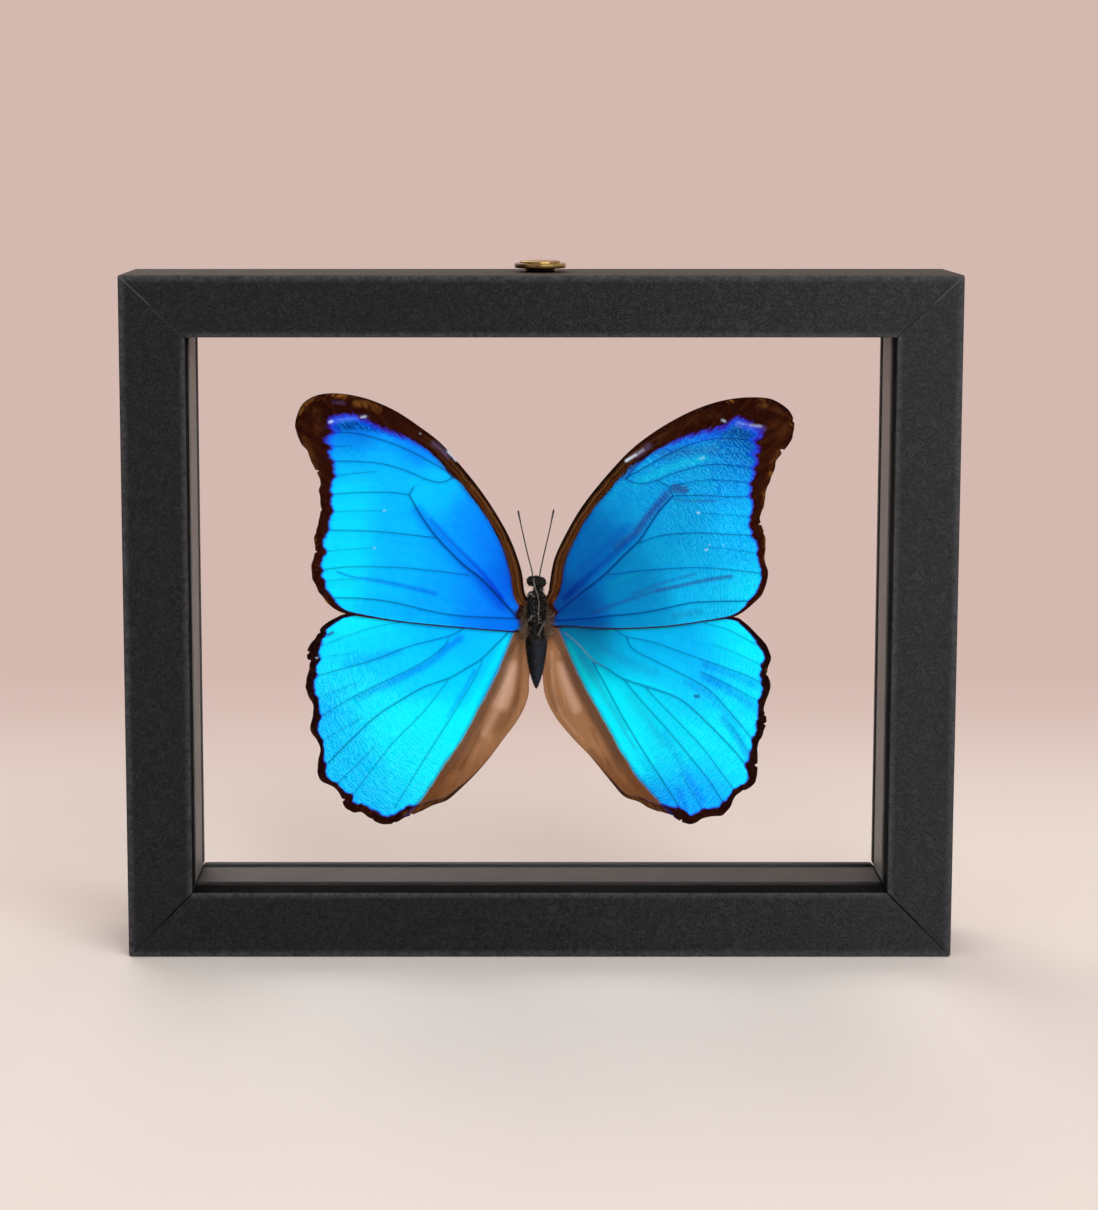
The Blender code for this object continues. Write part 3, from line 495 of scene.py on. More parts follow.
LOBES = [
    (-1.35, -0.9, 0.9, (1.45, 1.9, 3.3)),
    (1.35, -0.9, 0.7, (1.45, 1.9, 3.3)),
    (0.0, 0.6, 1.2, (2.3, 2.2, 3.6)),
    (-1.15, -0.6, 5.8, (1.05, 1.2, 1.2)),
    (1.0, -0.6, 5.4, (1.25, 1.2, 1.5)),
    (0.9, -0.3, 7.4, (0.85, 0.95, 0.9)),
    (0.0, -0.1, 9.7, (1.3, 1.15, 1.25)),
    (0.2, -1.1, 8.9, (0.55, 0.7, 0.9)),
    (-0.9, -1.3, -3.3, (1.1, 1.2, 0.9)),
    (0.9, -1.3, -3.6, (1.1, 1.2, 0.9)),
]
EYES = [(-1.2, -0.35, 9.5, (1.4, 1.3, 1.4)), (1.05, -0.35, 9.15, (1.5, 1.3, 1.5))]
ABDOMEN_JOINTS = [-7.2, -9.0, -10.8, -12.5, -14.1, -15.6, -16.9, -18.0]

# Threadlike pieces from the body outwards, as routes of (x, depth, z)
ANTENNA_LEFT = [
    (-1.0, -0.5, 10.2), (-1.2, -0.6, 12.2), (-2.4, -0.9, 17.0), (-3.7, -1.2, 22.8),
    (-4.8, -1.5, 28.1),
]
ANTENNA_RIGHT = [
    (0.7, -0.5, 10.2), (1.0, -0.6, 12.2), (2.0, -0.9, 17.0), (3.3, -1.2, 22.8), (4.4, -1.5, 28.4),
]
PROBOSCIS = [
    (-0.9, -1.9, 10.5), (-0.3, -2.8, 7.9), (0.2, -3.0, 6.4), (0.6, -3.6, 4.4), (0.5, -3.8, 1.6),
    (0.6, -3.7, -0.9),
]
FORELEG_LEFT = [(-1.2, -2.6, 0.9), (-1.6, -3.4, 0.4), (-3.0, -2.9, -1.3), (-5.0, -1.8, -2.9)]
FORELEG_RIGHT = [
    (0.5, -2.6, -4.4), (0.7, -3.5, -3.4), (1.9, -3.6, -1.0), (3.5, -2.9, 0.4), (4.7, -2.0, 1.3),
]
MIDLEG = [
    (2.2, 1.2, 2.0), (3.0, 1.7, 2.6), (3.4, 2.7, 4.6), (3.2, 3.4, 6.0), (3.5, 3.4, 1.6),
    (3.4, 3.6, -2.4),
]
HINDLEG = [
    (2.0, 1.6, -0.9), (2.9, 2.2, -0.6), (4.3, 2.9, 0.2), (4.7, 3.4, -1.2), (4.0, 3.5, -5.6),
    (3.2, 3.7, -10.4),
]


# What every colour setting has in common
PAINT = {"subtype": "COLOR", "min": 0.0, "max": 1.0}


class FrameSettings(bpy.types.PropertyGroup):
    """Sizes and colours of the wrapped frame and what is in its rabbet."""

    wrap_color: bpy.props.FloatVectorProperty(
        name="Wrap", description="Colour of the black wrapping paper",
        default=(0.0092, 0.0098, 0.0118), **PAINT,
    )
    spacer_color: bpy.props.FloatVectorProperty(
        name="Spacer", description="Colour of the satin grey strips between the panes",
        default=(0.1, 0.092, 0.087), **PAINT,
    )
    brass_color: bpy.props.FloatVectorProperty(
        name="Brass", description="Colour of the polished brass",
        default=(0.62, 0.42, 0.15), **PAINT,
    )
    grain_step: bpy.props.FloatProperty(
        name="Mesh step", description="How far apart the rails' mesh points lie, in millimetres",
        default=1.3, min=0.4, max=5.0,
    )
    crinkle: bpy.props.FloatProperty(
        name="Crinkle", description="How far the paper's crinkles stand up, in millimetres",
        default=0.045, min=0.0, max=0.3,
    )
    glass_ior: bpy.props.FloatProperty(
        name="Glare", description="Index of refraction of the low-glare panes",
        default=1.05, min=1.0, max=1.6,
    )


class WingSettings(bpy.types.PropertyGroup):
    """Sizes and colours of the wings."""

    mesh_step: bpy.props.FloatProperty(
        name="Mesh step", description="How far apart a wing's mesh points lie, in millimetres",
        default=0.4, min=0.2, max=3.0,
    )
    thickness: bpy.props.FloatProperty(
        name="Thickness", description="Thickness of the membrane, in millimetres",
        default=0.14, min=0.05, max=0.5,
    )
    vein_height: bpy.props.FloatProperty(
        name="Vein height", description="How far the veins stand up, in millimetres",
        default=0.1, min=0.0, max=0.4,
    )
    deep_blue: bpy.props.FloatVectorProperty(
        name="Deep blue", description="The blue beside the body and the leading edge",
        default=(0.0, 0.05, 0.9), **PAINT,
    )
    azure: bpy.props.FloatVectorProperty(
        name="Azure", description="The blue of the middle of the wings",
        default=(0.0, 0.3, 1.0), **PAINT,
    )
    cyan: bpy.props.FloatVectorProperty(
        name="Cyan", description="The brightest blue, towards the hind edges",
        default=(0.0, 0.8, 1.0), **PAINT,
    )
    border: bpy.props.FloatVectorProperty(
        name="Border", description="The brown-black of the wings' borders",
        default=(0.0155, 0.0016, 0.0003), **PAINT,
    )
    panel: bpy.props.FloatVectorProperty(
        name="Inner panel", description="The silky brown of the hindwings' inner panels",
        default=(0.25, 0.118, 0.055), **PAINT,
    )
    underside: bpy.props.FloatVectorProperty(
        name="Underside", description="The brown of the wings' undersides",
        default=(0.105, 0.062, 0.036), **PAINT,
    )


class BodySettings(bpy.types.PropertyGroup):
    """Sizes and colours of the body, its hair and its legs."""

    cuticle: bpy.props.FloatVectorProperty(
        name="Cuticle", description="Colour of the black body",
        default=(0.0022, 0.0021, 0.0022), **PAINT,
    )
    abdomen: bpy.props.FloatVectorProperty(
        name="Abdomen", description="Colour of the slate abdomen",
        default=(0.0115, 0.014, 0.0205), **PAINT,
    )
    leg: bpy.props.FloatVectorProperty(
        name="Legs", description="Colour of the legs and the proboscis",
        default=(0.062, 0.053, 0.042), **PAINT,
    )
    skin_step: bpy.props.FloatProperty(
        name="Skin step", description="Mesh step of the body's skin, in millimetres",
        default=0.11, min=0.06, max=0.5,
    )
    hair_count: bpy.props.IntProperty(
        name="Hairs", description="How many hairs the thorax and the wing roots carry",
        default=4200, min=0, max=12000,
    )


class StageSettings(bpy.types.PropertyGroup):
    """The floor, the light and the camera."""

    floor_color: bpy.props.FloatVectorProperty(
        name="Floor", description="Colour of the pale floor",
        default=(0.8, 0.74, 0.7), **PAINT,
    )
    far_color: bpy.props.FloatVectorProperty(
        name="Distance", description="Colour that the floor takes further off",
        default=(0.66, 0.485, 0.435), **PAINT,
    )
    world_strength: bpy.props.FloatProperty(
        name="Surroundings", description="Strength of the even light from all round",
        default=0.62, min=0.0, max=5.0,
    )
    key_power: bpy.props.FloatProperty(
        name="Key light", description="Power of the large soft light",
        default=8.2, min=0.0, max=500.0,
    )
    camera_distance: bpy.props.FloatProperty(
        name="Distance", description="From the camera to the frame's front, in millimetres",
        default=600.0, min=100.0, max=3000.0,
    )


class Value:
    """A shader socket that Python's arithmetic works on."""

    def __init__(self, finish, socket):
        self.finish = finish
        self.socket = socket

    def math(self, operation, first, second=0.0, clamp=False):
        """The result of a Math node."""
        settings = {"operation": operation, "use_clamp": clamp}
        return self.finish.add("ShaderNodeMath", settings, {0: first, 1: second})

    def __add__(self, other):
        return self.math("ADD", self, other)

    def __sub__(self, other):
        return self.math("SUBTRACT", self, other)

    def __rsub__(self, other):
        return self.math("SUBTRACT", other, self)

    def __mul__(self, other):
        return self.math("MULTIPLY", self, other)

    def __truediv__(self, other):
        return self.math("DIVIDE", self, other)

    def __pow__(self, other):
        return self.math("POWER", self, other)

    __radd__ = __add__
    __rmul__ = __mul__

    def clamped(self):
        return self.math("ADD", self, 0.0, clamp=True)

    def larger(self, other):
        return self.math("MAXIMUM", self, other)

    def sine(self):
        return self.math("SINE", self)


class NodeWork:
    """Adds nodes to a node tree and joins them."""

    def __init__(self, tree):
        self.nodes = tree.nodes
        self.links = tree.links

    def join(self, socket, value):
        if isinstance(value, Value):
            self.links.new(value.socket, socket)
        elif socket.type == "RGBA":
            socket.default_value = (*value[:3], 1.0)
        else:
            socket.default_value = value

    def add(self, kind, settings=None, sockets=None, output=0):
        """A node of any kind: its settings come first, then its sockets' values or links."""
        node = self.nodes.new(kind)
        for name, value in (settings or {}).items():
            if name == "stops":
                stops = node.color_ramp.elements
                stops.remove(stops[1])
                stops[0].position = value[0][0]
                for place, color in value:
                    stop = stops[0] if place == value[0][0] else stops.new(place)
                    stop.color = (*color[:3], 1.0)
            else:
                setattr(node, name, value)
        for key, value in (sockets or {}).items():
            self.join(node.inputs[key], value)
        return Value(self, node.outputs[output])

    def ramp(self, value, stops):
        return self.add("ShaderNodeValToRGB", {"stops": stops}, {0: value})


class Finish(NodeWork):
    """A material made of nodes around one Principled shader."""

    def __init__(self, name, **constants):
        self.material = bpy.data.materials.new(name)
        self.material.use_nodes = True
        super().__init__(self.material.node_tree)
        self.shader = self.nodes["Principled BSDF"]
        for words, value in constants.items():
            self.put(words.replace("_", " "), value)

    def attribute(self, name):
        return self.add("ShaderNodeAttribute", {"attribute_name": name}, output="Fac")

    def place(self):
        """The place on the object in millimetres."""
        spot = self.add("ShaderNodeTexCoord", output="Object")
        settings = {"operation": "SCALE"}
        return self.add("ShaderNodeVectorMath", settings, {0: spot, "Scale": 1.0 / MM})

    def vector(self, x, y, z=0.0):
        return self.add("ShaderNodeCombineXYZ", sockets={0: x, 1: y, 2: z})

    def stretch(self, place, amounts):
        return self.add("ShaderNodeVectorMath", {"operation": "MULTIPLY"}, {0: place, 1: amounts})

    def noise(self, place, scale, detail=3.0, roughness=0.5, distortion=0.0):
        sockets = {
            "Vector": place, "Scale": scale, "Detail": detail,
            "Roughness": roughness, "Distortion": distortion,
        }
        return self.add("ShaderNodeTexNoise", sockets=sockets)

    def cells(self, place, scale, feature="F1"):
        settings = {"feature": feature}
        return self.add("ShaderNodeTexVoronoi", settings, {"Vector": place, "Scale": scale})

    def step(self, value, low, high):
        """0 below low and 1 above high, or the other way round, with a soft change between."""
        settings = {"interpolation_type": "SMOOTHSTEP"}
        first, last = (0.0, 1.0) if low < high else (1.0, 0.0)
        sockets = {0: value, 1: min(low, high), 2: max(low, high), 3: first, 4: last}
        return self.add("ShaderNodeMapRange", settings, sockets)

    def blend(self, share, first, second, way="MIX"):
        settings = {"data_type": "RGBA", "blend_type": way}
        return self.add("ShaderNodeMix", settings, {0: share, 6: first, 7: second}, output=2)

    def bump(self, height, strength, distance):
        sockets = {"Height": height, "Strength": strength, "Distance": distance * MM}
        self.put("Normal", self.add("ShaderNodeBump", sockets=sockets))

    def put(self, socket, value):
        self.join(self.shader.inputs[socket], value)


def smooth_line(points, steps):
    """Points along a curve through the given ones; further columns go along with the place."""
    points = np.asarray(points, float)
    ends = np.vstack([2 * points[0] - points[1], points, 2 * points[-1] - points[-2]])
    t = np.arange(steps)[:, None] / steps
    parts = []
    for a, b, c, d in zip(ends, ends[1:], ends[2:], ends[3:]):
        bend = (2 * a - 5 * b + 4 * c - d) * t**2
        parts.append(0.5 * (2 * b + (c - a) * t + bend + (3 * b - a - 3 * c + d) * t**3))
    return np.vstack([*parts, points[-1:]])


def pairs(flat_route):
    """A flat route as rows of x and z."""
    return np.reshape(flat_route, (-1, 2))


def even_line(points, spacing, measured=2):
    """The line with its points evenly spaced, by its length over the first columns."""
    points = np.asarray(points, float)
    lengths = np.linalg.norm(np.diff(points[:, :measured], axis=0), axis=1)
    reach = np.concatenate([[0.0], np.cumsum(lengths)])
    count = max(2, int(round(reach[-1] / spacing)) + 1)
    targets = np.linspace(0.0, reach[-1], count)
    return np.column_stack([np.interp(targets, reach, column) for column in points.T])


def beside_line(places, line):
    """Each place's distance from a line, its share of the line's length there, and its side."""
    line = np.asarray(line, float)
    starts = line[:-1, :2]
    steps = np.diff(line[:, :2], axis=0)
    lengths = np.linalg.norm(steps, axis=1)
    reach = np.concatenate([[0.0], np.cumsum(lengths)])
    gaps = np.full(len(places), np.inf)
    shares = np.zeros(len(places))
    sides = np.zeros(len(places))
    for index, (start, step, length) in enumerate(zip(starts, steps, lengths)):
        offset = places - start
        t = np.clip(offset @ step / length**2, 0.0, 1.0)
        gap = np.linalg.norm(offset - t[:, None] * step, axis=1)
        nearer = gap < gaps
        gaps[nearer] = gap[nearer]
        shares[nearer] = (reach[index] + t[nearer] * length) / reach[-1]
        sides[nearer] = np.sign(step[0] * offset[nearer, 1] - step[1] * offset[nearer, 0])
    return gaps, shares, sides


def border_share(places, outline):
    """Distance from the outline over the border's width there, least over the outline."""
    least = np.full(len(places), np.inf)
    for start, end in zip(outline, np.roll(outline, -1, axis=0)):
        step = (end - start)[:2]
        offset = places - start[:2]
        t = np.clip(offset @ step / max(step @ step, 1e-9), 0.0, 1.0)
        gap = np.linalg.norm(offset - t[:, None] * step, axis=1)
        least = np.minimum(least, gap / (start[2] + t * (end[2] - start[2])))
    return least


def inside(places, outline):
    """Which places lie inside a closed outline."""
    found = np.zeros(len(places), bool)
    for (x0, z0), (x1, z1) in zip(outline, np.roll(outline, -1, axis=0)):
        if z0 == z1:
            continue
        crosses = (places[:, 1] < z0) != (places[:, 1] < z1)
        found ^= crosses & (places[:, 0] < x0 + (places[:, 1] - z0) * (x1 - x0) / (z1 - z0))
    return found


def soft_step(values, low, high):
    """0 below low and 1 above high, with a soft change between."""
    t = np.clip((values - low) / (high - low), 0.0, 1.0)
    return t * t * (3.0 - 2.0 * t)


def stroke_strength(places, strokes):
    """How strongly a set of soft strokes covers each place, from 0 to 1."""
    strongest = np.zeros(len(places))
    for half_width, softness, strength, *route in strokes:
        gaps, _, _ = beside_line(places, smooth_line(pairs(route), 4))
        cover = 1.0 - soft_step(gaps, max(half_width - softness / 2, 0.0), half_width + softness)
        strongest = np.maximum(strongest, strength * cover)
    return strongest


def wash_values(places, washes, radius=6.5):
    """Hue and lightness of the blue at each place, blended from the washes around it."""
    totals = np.full(len(places), 1e-9)
    sums = np.zeros((len(places), 2))
    for x, z, hue, light in washes:
        away = np.hypot(places[:, 0] - x, places[:, 1] - z)
        weight = np.exp(-((away / radius) ** 2)) + 0.02 / (1.0 + (away / radius) ** 4)
        totals += weight
        sums += weight[:, None] * np.array([hue, light])
    return (sums / totals[:, None]).T


def make_object(name, vertices, faces, finishes, values=None, kinds=None, smooth_angle=None):
    """A named object from places in millimetres, with its values per point and its finishes."""
    mesh = bpy.data.meshes.new(name)
    mesh.from_pydata((np.asarray(vertices, float) * MM).tolist(), [], faces)
    for finish in finishes:
        mesh.materials.append(finish.material)
    for value_name, numbers in (values or {}).items():
        layer = mesh.attributes.new(value_name, "FLOAT", "POINT")
        layer.data.foreach_set("value", np.asarray(numbers, np.float32))
    if kinds is not None:
        mesh.polygons.foreach_set("material_index", np.asarray(kinds, np.int32))
    mesh.validate()
    mesh.shade_smooth()
    if smooth_angle is not None:
        mesh.set_sharp_from_angle(angle=math.radians(smooth_angle))
    made = bpy.data.objects.new(name, mesh)
    bpy.context.scene.collection.objects.link(made)
    return made


def settle(made, slot, *nodes):
    """Puts a piece on the model's body, in place of its nodes."""
    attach(made, BODY)
    if nodes:
        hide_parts(*nodes)
    return made


def wrap_finish(settings):
    """Black leathery paper, rubbed along the edges, with a painted sheen on its top face and
    painted light that grows towards the right.
    """
    finish = Finish("black wrap", Roughness=0.5, Specular_IOR_Level=0.24)
    step, blend, place = finish.step, finish.blend, finish.place()
    grain = finish.noise(place, 2.6, 4.0, 0.65)
    cloud = finish.noise(place, 0.16, 4.0, 0.6)
    sway = finish.noise(place, 0.36, 3.0, 0.6, 0.9)
    wrinkle = (sway * 46.0 + grain * 3.0).sine()
    pebbles = finish.cells(place, 2.2)
    speck = step(finish.noise(place, 3.1, 1.0), 0.7, 0.76)
    rubbed = finish.attribute("edge") * step(finish.noise(place, 0.7, 4.0, 0.7), 0.2, 0.74)
    # Painted sheen: a warm grey on the top rail's top face, standing in for the surroundings'
    # reflection.
    dust = finish.attribute("dust") * (0.55 + 0.45 * finish.noise(place, 0.3, 5.0, 0.7))
    height = finish.add("ShaderNodeSeparateXYZ", sockets={0: place}, output="Z")
    upper = step(height, 70.0, 120.0)
    joint = step(finish.attribute("mitre"), 0.36, 0.14)
    worn = joint * upper * (0.3 + 0.7 * cloud)
    # Painted light: the wrap's colour grows lighter from the frame's left to its right.
    fade = finish.attribute("fade")
    # The crinkles' light and dark is partly the paper's own mottle and partly painted shading of
    # the crinkles, stronger on the darker left.
    crinkle = (0.55 * wrinkle + 1.7 * (grain - 0.5)) * (1.7 - fade)
    shade = (0.76 + 0.48 * cloud) * (1.0 + crinkle) * (0.66 + 1.3 * fade)
    full = tuple(4.0 * c for c in settings.wrap_color)
    black = blend((shade * 0.25).clamped(), (0.0, 0.0, 0.0), full)
    black = blend(joint * (1.0 - upper), black, (0.001, 0.001, 0.001))
    black = blend(speck * 0.25, black, (0.11, 0.1, 0.095))
    black = blend(rubbed * 0.6, black, (0.085, 0.087, 0.094))
    black = blend(worn * 0.6, black, (0.12, 0.115, 0.11))
    black = blend(dust * 0.75, black, (0.082, 0.064, 0.057))
    finish.put("Base Color", black)
    finish.put("Roughness", (0.5 + 0.16 * cloud + 0.12 * grain + 0.1 * dust).clamped())
    finish.bump(grain * 0.5 + pebbles * 0.4 + wrinkle * 0.4, 0.8, 0.16)
    return finish


def shaded_wall_finish():
    """Flat black paper inside the frame's opening, made much darker than the wrap as painted
    shade.
    """
    finish = Finish("inner wall in painted shade", Specular_IOR_Level=0.02)
    place = finish.place()
    grain = finish.noise(place, 1.8, 4.0, 0.65)
    # Painted shade: nearly black, much darker than the wrap.
    finish.put("Base Color", finish.blend(grain, (0.001, 0.001, 0.001), (0.008, 0.008, 0.0085)))
    finish.put("Roughness", 0.75 + 0.2 * grain)
    finish.bump(grain, 0.5, 0.06)
    return finish


def strip_finish(name, color, roughness, streak):
    """A painted strip with fine lines drawn along its depth."""
    finish = Finish(name, Specular_IOR_Level=0.4)
    place = finish.place()
    lines = finish.noise(finish.stretch(place, (streak, 0.12, streak)), 1.0, 3.0, 0.6)
    cloud = finish.noise(place, 0.09, 3.0)
    share = (0.36 + 0.16 * lines + 0.14 * cloud).clamped()
    finish.put("Base Color", finish.blend(share, (0.0, 0.0, 0.0), tuple(2.0 * c for c in color)))
    finish.put("Roughness", (roughness + 0.2 * (cloud - 0.5)).clamped())
    finish.bump(lines, 0.3, 0.02)
    return finish


def glass_finish(settings):
    """Clear low-glare glass."""
    finish = Finish(
        "clear glass", Base_Color=(1.0, 1.0, 1.0), Roughness=0.0,
        IOR=settings.glass_ior, Transmission_Weight=1.0,
    )
    smears = finish.noise(finish.place(), 0.03, 2.0)
    finish.put("Roughness", smears * 0.006)
    return finish


def brass_finish(settings):
    """Turned brass with fine lathe lines, browned where it has tarnished and darkened by painted
    shade towards its left and under its flange.
    """
    finish = Finish("polished brass", Metallic=1.0)
    place = finish.place()
    lathe = finish.noise(finish.stretch(place, (0.15, 0.15, 22.0)), 1.0, 2.0)
    tarnish = finish.step(finish.noise(place, 0.35, 5.0, 0.65), 0.42, 0.72)
    # The shade attribute is painted shade, darker to the knob's left and under its flange.
    low = finish.attribute("shade")
    tarnish_and_shade = (0.05 + 0.35 * tarnish + low).clamped()
    brown = (0.07, 0.032, 0.011)
    finish.put("Base Color", finish.blend(tarnish_and_shade, settings.brass_color, brown))
    finish.put("Roughness", (0.16 + 0.22 * tarnish + 0.08 * lathe).clamped())
    finish.bump(lathe, 0.2, 0.01)
    return finish


def wing_top_finish(settings):
    """Structural blue with ripples, dark veins, a feathered border and silky brown panels, with
    painted glints, sheen and shade.
    """
    finish = Finish("blue wing scales", Specular_IOR_Level=0.02)
    place = finish.place()
    read, step, blend = finish.attribute, finish.step, finish.blend
    spoke, reach = read("spoke"), read("reach")
    ripple = finish.noise(finish.vector(spoke * 11.0, reach * 1.15), 1.0, 3.0, 0.55, 0.3)
    crimp = finish.noise(finish.vector(spoke * 30.0, reach * 3.0, 4.0), 1.0, 2.0, 0.5)
    streak = finish.noise(finish.vector(spoke * 60.0, reach * 0.05), 1.0, 4.0, 0.6)
    feather = finish.noise(finish.vector(spoke * 75.0, reach * 0.25, 9.0), 1.0, 3.0, 0.6)
    grain = finish.noise(place, 3.4, 2.0, 0.6)
    patch = finish.noise(place, 0.17, 3.0, 0.5)
    ruffle = read("ruffle")
    sway = finish.noise(place, 0.34, 3.0, 0.65, 0.6)
    # Painted highlight on the ripples' crests and painted shade in their troughs.
    wave = (reach * 7.6 + sway * 30.0 + crimp * 7.0).sine()
    crest_highlight = step(wave, 0.0, 0.95) * ruffle
    trough_shade = step(wave, 0.0, -0.95) * ruffle

    # The strokes that deepen and darken the blue are painted shade in folds and beside veins.
    deep, bright, dusk = read("deep"), read("bright"), read("dusk")
    hue = read("hue") + (ripple - 0.5) * (0.1 + 0.3 * ruffle) + (streak - 0.5) * 0.16
    hue = hue + (patch - 0.5) * 0.1 + (crimp - 0.5) * 0.16 + bright * 0.3 - deep * 0.42
    # The mauve strokes dull and darken the blue: mauve patches and painted shade along creases.
    hue = hue - dusk * 0.2
    # The washes' lightness is partly the blue's own tone and partly painted light and shade.
    light = read("light") * (1.0 - 0.55 * dusk) * (0.88 + 0.24 * grain)
    light = light * (1.0 - 0.3 * deep) * (1.0 - 0.16 * trough_shade)
    blue = finish.ramp(
        hue, [(0.0, settings.deep_blue), (0.5, settings.azure), (1.0, settings.cyan)]
    )
    blue = blend(light.clamped(), (0.0, 0.001, 0.008), blue)
    blue = blend(crest_highlight * 0.36, blue, (0.06, 0.72, 1.0))
    blue = blend(dusk * 0.4, blue, (0.035, 0.075, 0.2))

    # Painted highlights: white glints and sparkles.
    glint = read("glint") ** 1.5 * (0.1 + 0.9 * grain + 0.9 * feather)
    # Painted sheen: a soft lilac glow round the highlights.
    lilac = read("lilac") * step(feather, 0.2, 0.6)
    mottle = read("mottle") * step(feather * 0.6 + grain, 0.96, 0.7)
    vein, ink = read("vein"), read("ink")
    line = step(vein, 0.11, -0.04) * ink
    halo = step(vein, 0.7, 0.0) * ink
    blue = blend(halo * 0.22, blue, (0.0, 0.03, 0.45))
    blue = blend((mottle * 0.9).clamped(), blue, (0.0, 0.006, 0.09))
    blue = blend(lilac * 0.6, blue, (0.2, 0.17, 0.8))
    blue = blend(line * 0.9, blue, (0.0, 0.014, 0.07))

    share = read("border") + (feather - 0.5) * 0.4 + (grain - 0.5) * 0.3
    teeth = share - read("tooth") * step(vein, 1.1, 0.1)
    edge = step(teeth, 1.07, 0.93)
    fringe = step(teeth, 1.4, 1.02)
    warm = (read("warm") * step(feather, 0.3, 0.6)).clamped()
    brown = blend(step(streak, 0.45, 0.8) * 0.8, settings.border, (0.042, 0.01, 0.001))
    chip = step(read("border"), 0.4, 0.06) * step(patch + 0.6 * crimp, 0.88, 1.04)
    brown = blend(chip * read("chip"), brown, (0.23, 0.085, 0.012))
    ochre = blend(feather, (0.06, 0.018, 0.002), (0.19, 0.068, 0.016))
    brown = blend(warm, brown, ochre)
    rib = step(spoke, 0.74, 0.92) * step(reach, 62.0, 34.0)
    ribs = finish.ramp(
        read("border") + 0.5 * (patch - 0.5) + 0.3 * (streak - 0.5),
        [
            (0.1, (0.004, 0.0015, 0.0005)), (0.24, (0.02, 0.007, 0.002)),
            (0.4, (0.1, 0.037, 0.01)), (0.54, (0.014, 0.004, 0.001)),
            (0.74, (0.07, 0.021, 0.004)), (0.92, (0.012, 0.003, 0.001)),
        ],
    )
    brown = blend(rib * 0.85, brown, ribs)
    brown = blend(lilac * 0.45, brown, (0.2, 0.14, 0.36))
    low = read("low")
    hem = step(read("border"), 0.1, 0.0) * (0.75 - 0.65 * low)
    brown = blend(hem, brown, (0.003, 0.001, 0.0))
    hind = step(read("panel"), 0.75 * NO_PANEL, 0.5 * NO_PANEL) * (1.0 - warm) * (1.0 - 0.6 * low)
    brown = blend(hind * 0.7, brown, (0.0045, 0.0012, 0.0014))
    outer = step(reach, 20.0, 42.0) * (1.0 - 0.8 * rib)
    haze = blend(outer, (0.0, 0.012, 0.16), (0.003, 0.045, 0.85))
    rim = blend(outer, (0.008, 0.0, 0.1), (0.03, 0.004, 0.34))
    violet = blend(step(teeth, 1.25, 1.04), haze, rim)
    blue = blend(fringe * (0.35 + 0.55 * outer), blue, violet)
    color = blend(edge, blue, brown)
    color = blend(glint.clamped(), color, (0.72, 0.82, 0.98))

    panel = read("panel")
    silk = finish.noise(finish.vector(spoke * 26.0, reach * 0.05, 2.0), 1.0, 4.0, 0.55, 0.2)
    sheen = finish.noise(finish.vector(spoke * 7.0, reach * 0.09, 5.0), 1.0, 2.0, 0.5)
    # The panel's light and dark bands are partly its own tone and partly painted sheen and shade
    # of its folds.
    folds = finish.ramp(
        silk * 0.5 + sheen * 0.5 + 0.12 * (grain - 0.5),
        [
            (0.3, (0.1, 0.04, 0.014)), (0.46, settings.panel),
            (0.55, settings.panel), (0.7, (0.36, 0.19, 0.105)),
        ],
    )
    # Painted highlights on the silky panels.
    gloss = (read("gloss") * (0.35 + 0.5 * silk + 0.6 * grain)).clamped()
    folds = blend(gloss * 0.85, folds, (0.54, 0.35, 0.26))
    shaded = (read("shade") * (0.4 + silk)).clamped()
    folds = blend(shaded * 0.75, folds, (0.07, 0.026, 0.009))
    strip = step(panel + 2.0 * (silk - 0.5), 3.4, 1.5)
    umber = blend(grain, (0.05, 0.022, 0.012), (0.13, 0.062, 0.036))
    folds = blend(strip * 0.75, folds, umber)
    rust = blend(feather, (0.04, 0.013, 0.004), (0.2, 0.07, 0.018))
    folds = blend(low * 0.7, folds, rust)
    brim = step(read("border"), 1.6, 0.4)
    folds = blend(brim * 0.25, folds, (0.06, 0.024, 0.01))
    brown_side = step(panel + (feather - 0.5) * 1.1, -0.35, 0.4)
    seam = step(panel + (feather - 0.5) * 1.1, -1.0, 0.0) * (1.0 - brown_side)
    brown_side = brown_side * (1.0 - 0.85 * edge * low)
    color = blend(seam * 0.6, color, (0.01, 0.02, 0.16))
    color = blend(brown_side, color, folds)

    finish.put("Base Color", color)
    finish.put("Roughness", (0.5 - 0.14 * edge - 0.08 * brown_side + 0.1 * grain).clamped())
    finish.bump(
        ripple * (0.4 + 0.6 * ruffle) + crimp * 0.3 + streak * 0.3 + grain * 0.25 + crest_highlight * 0.3,
        0.5, 0.16,
    )
    return finish


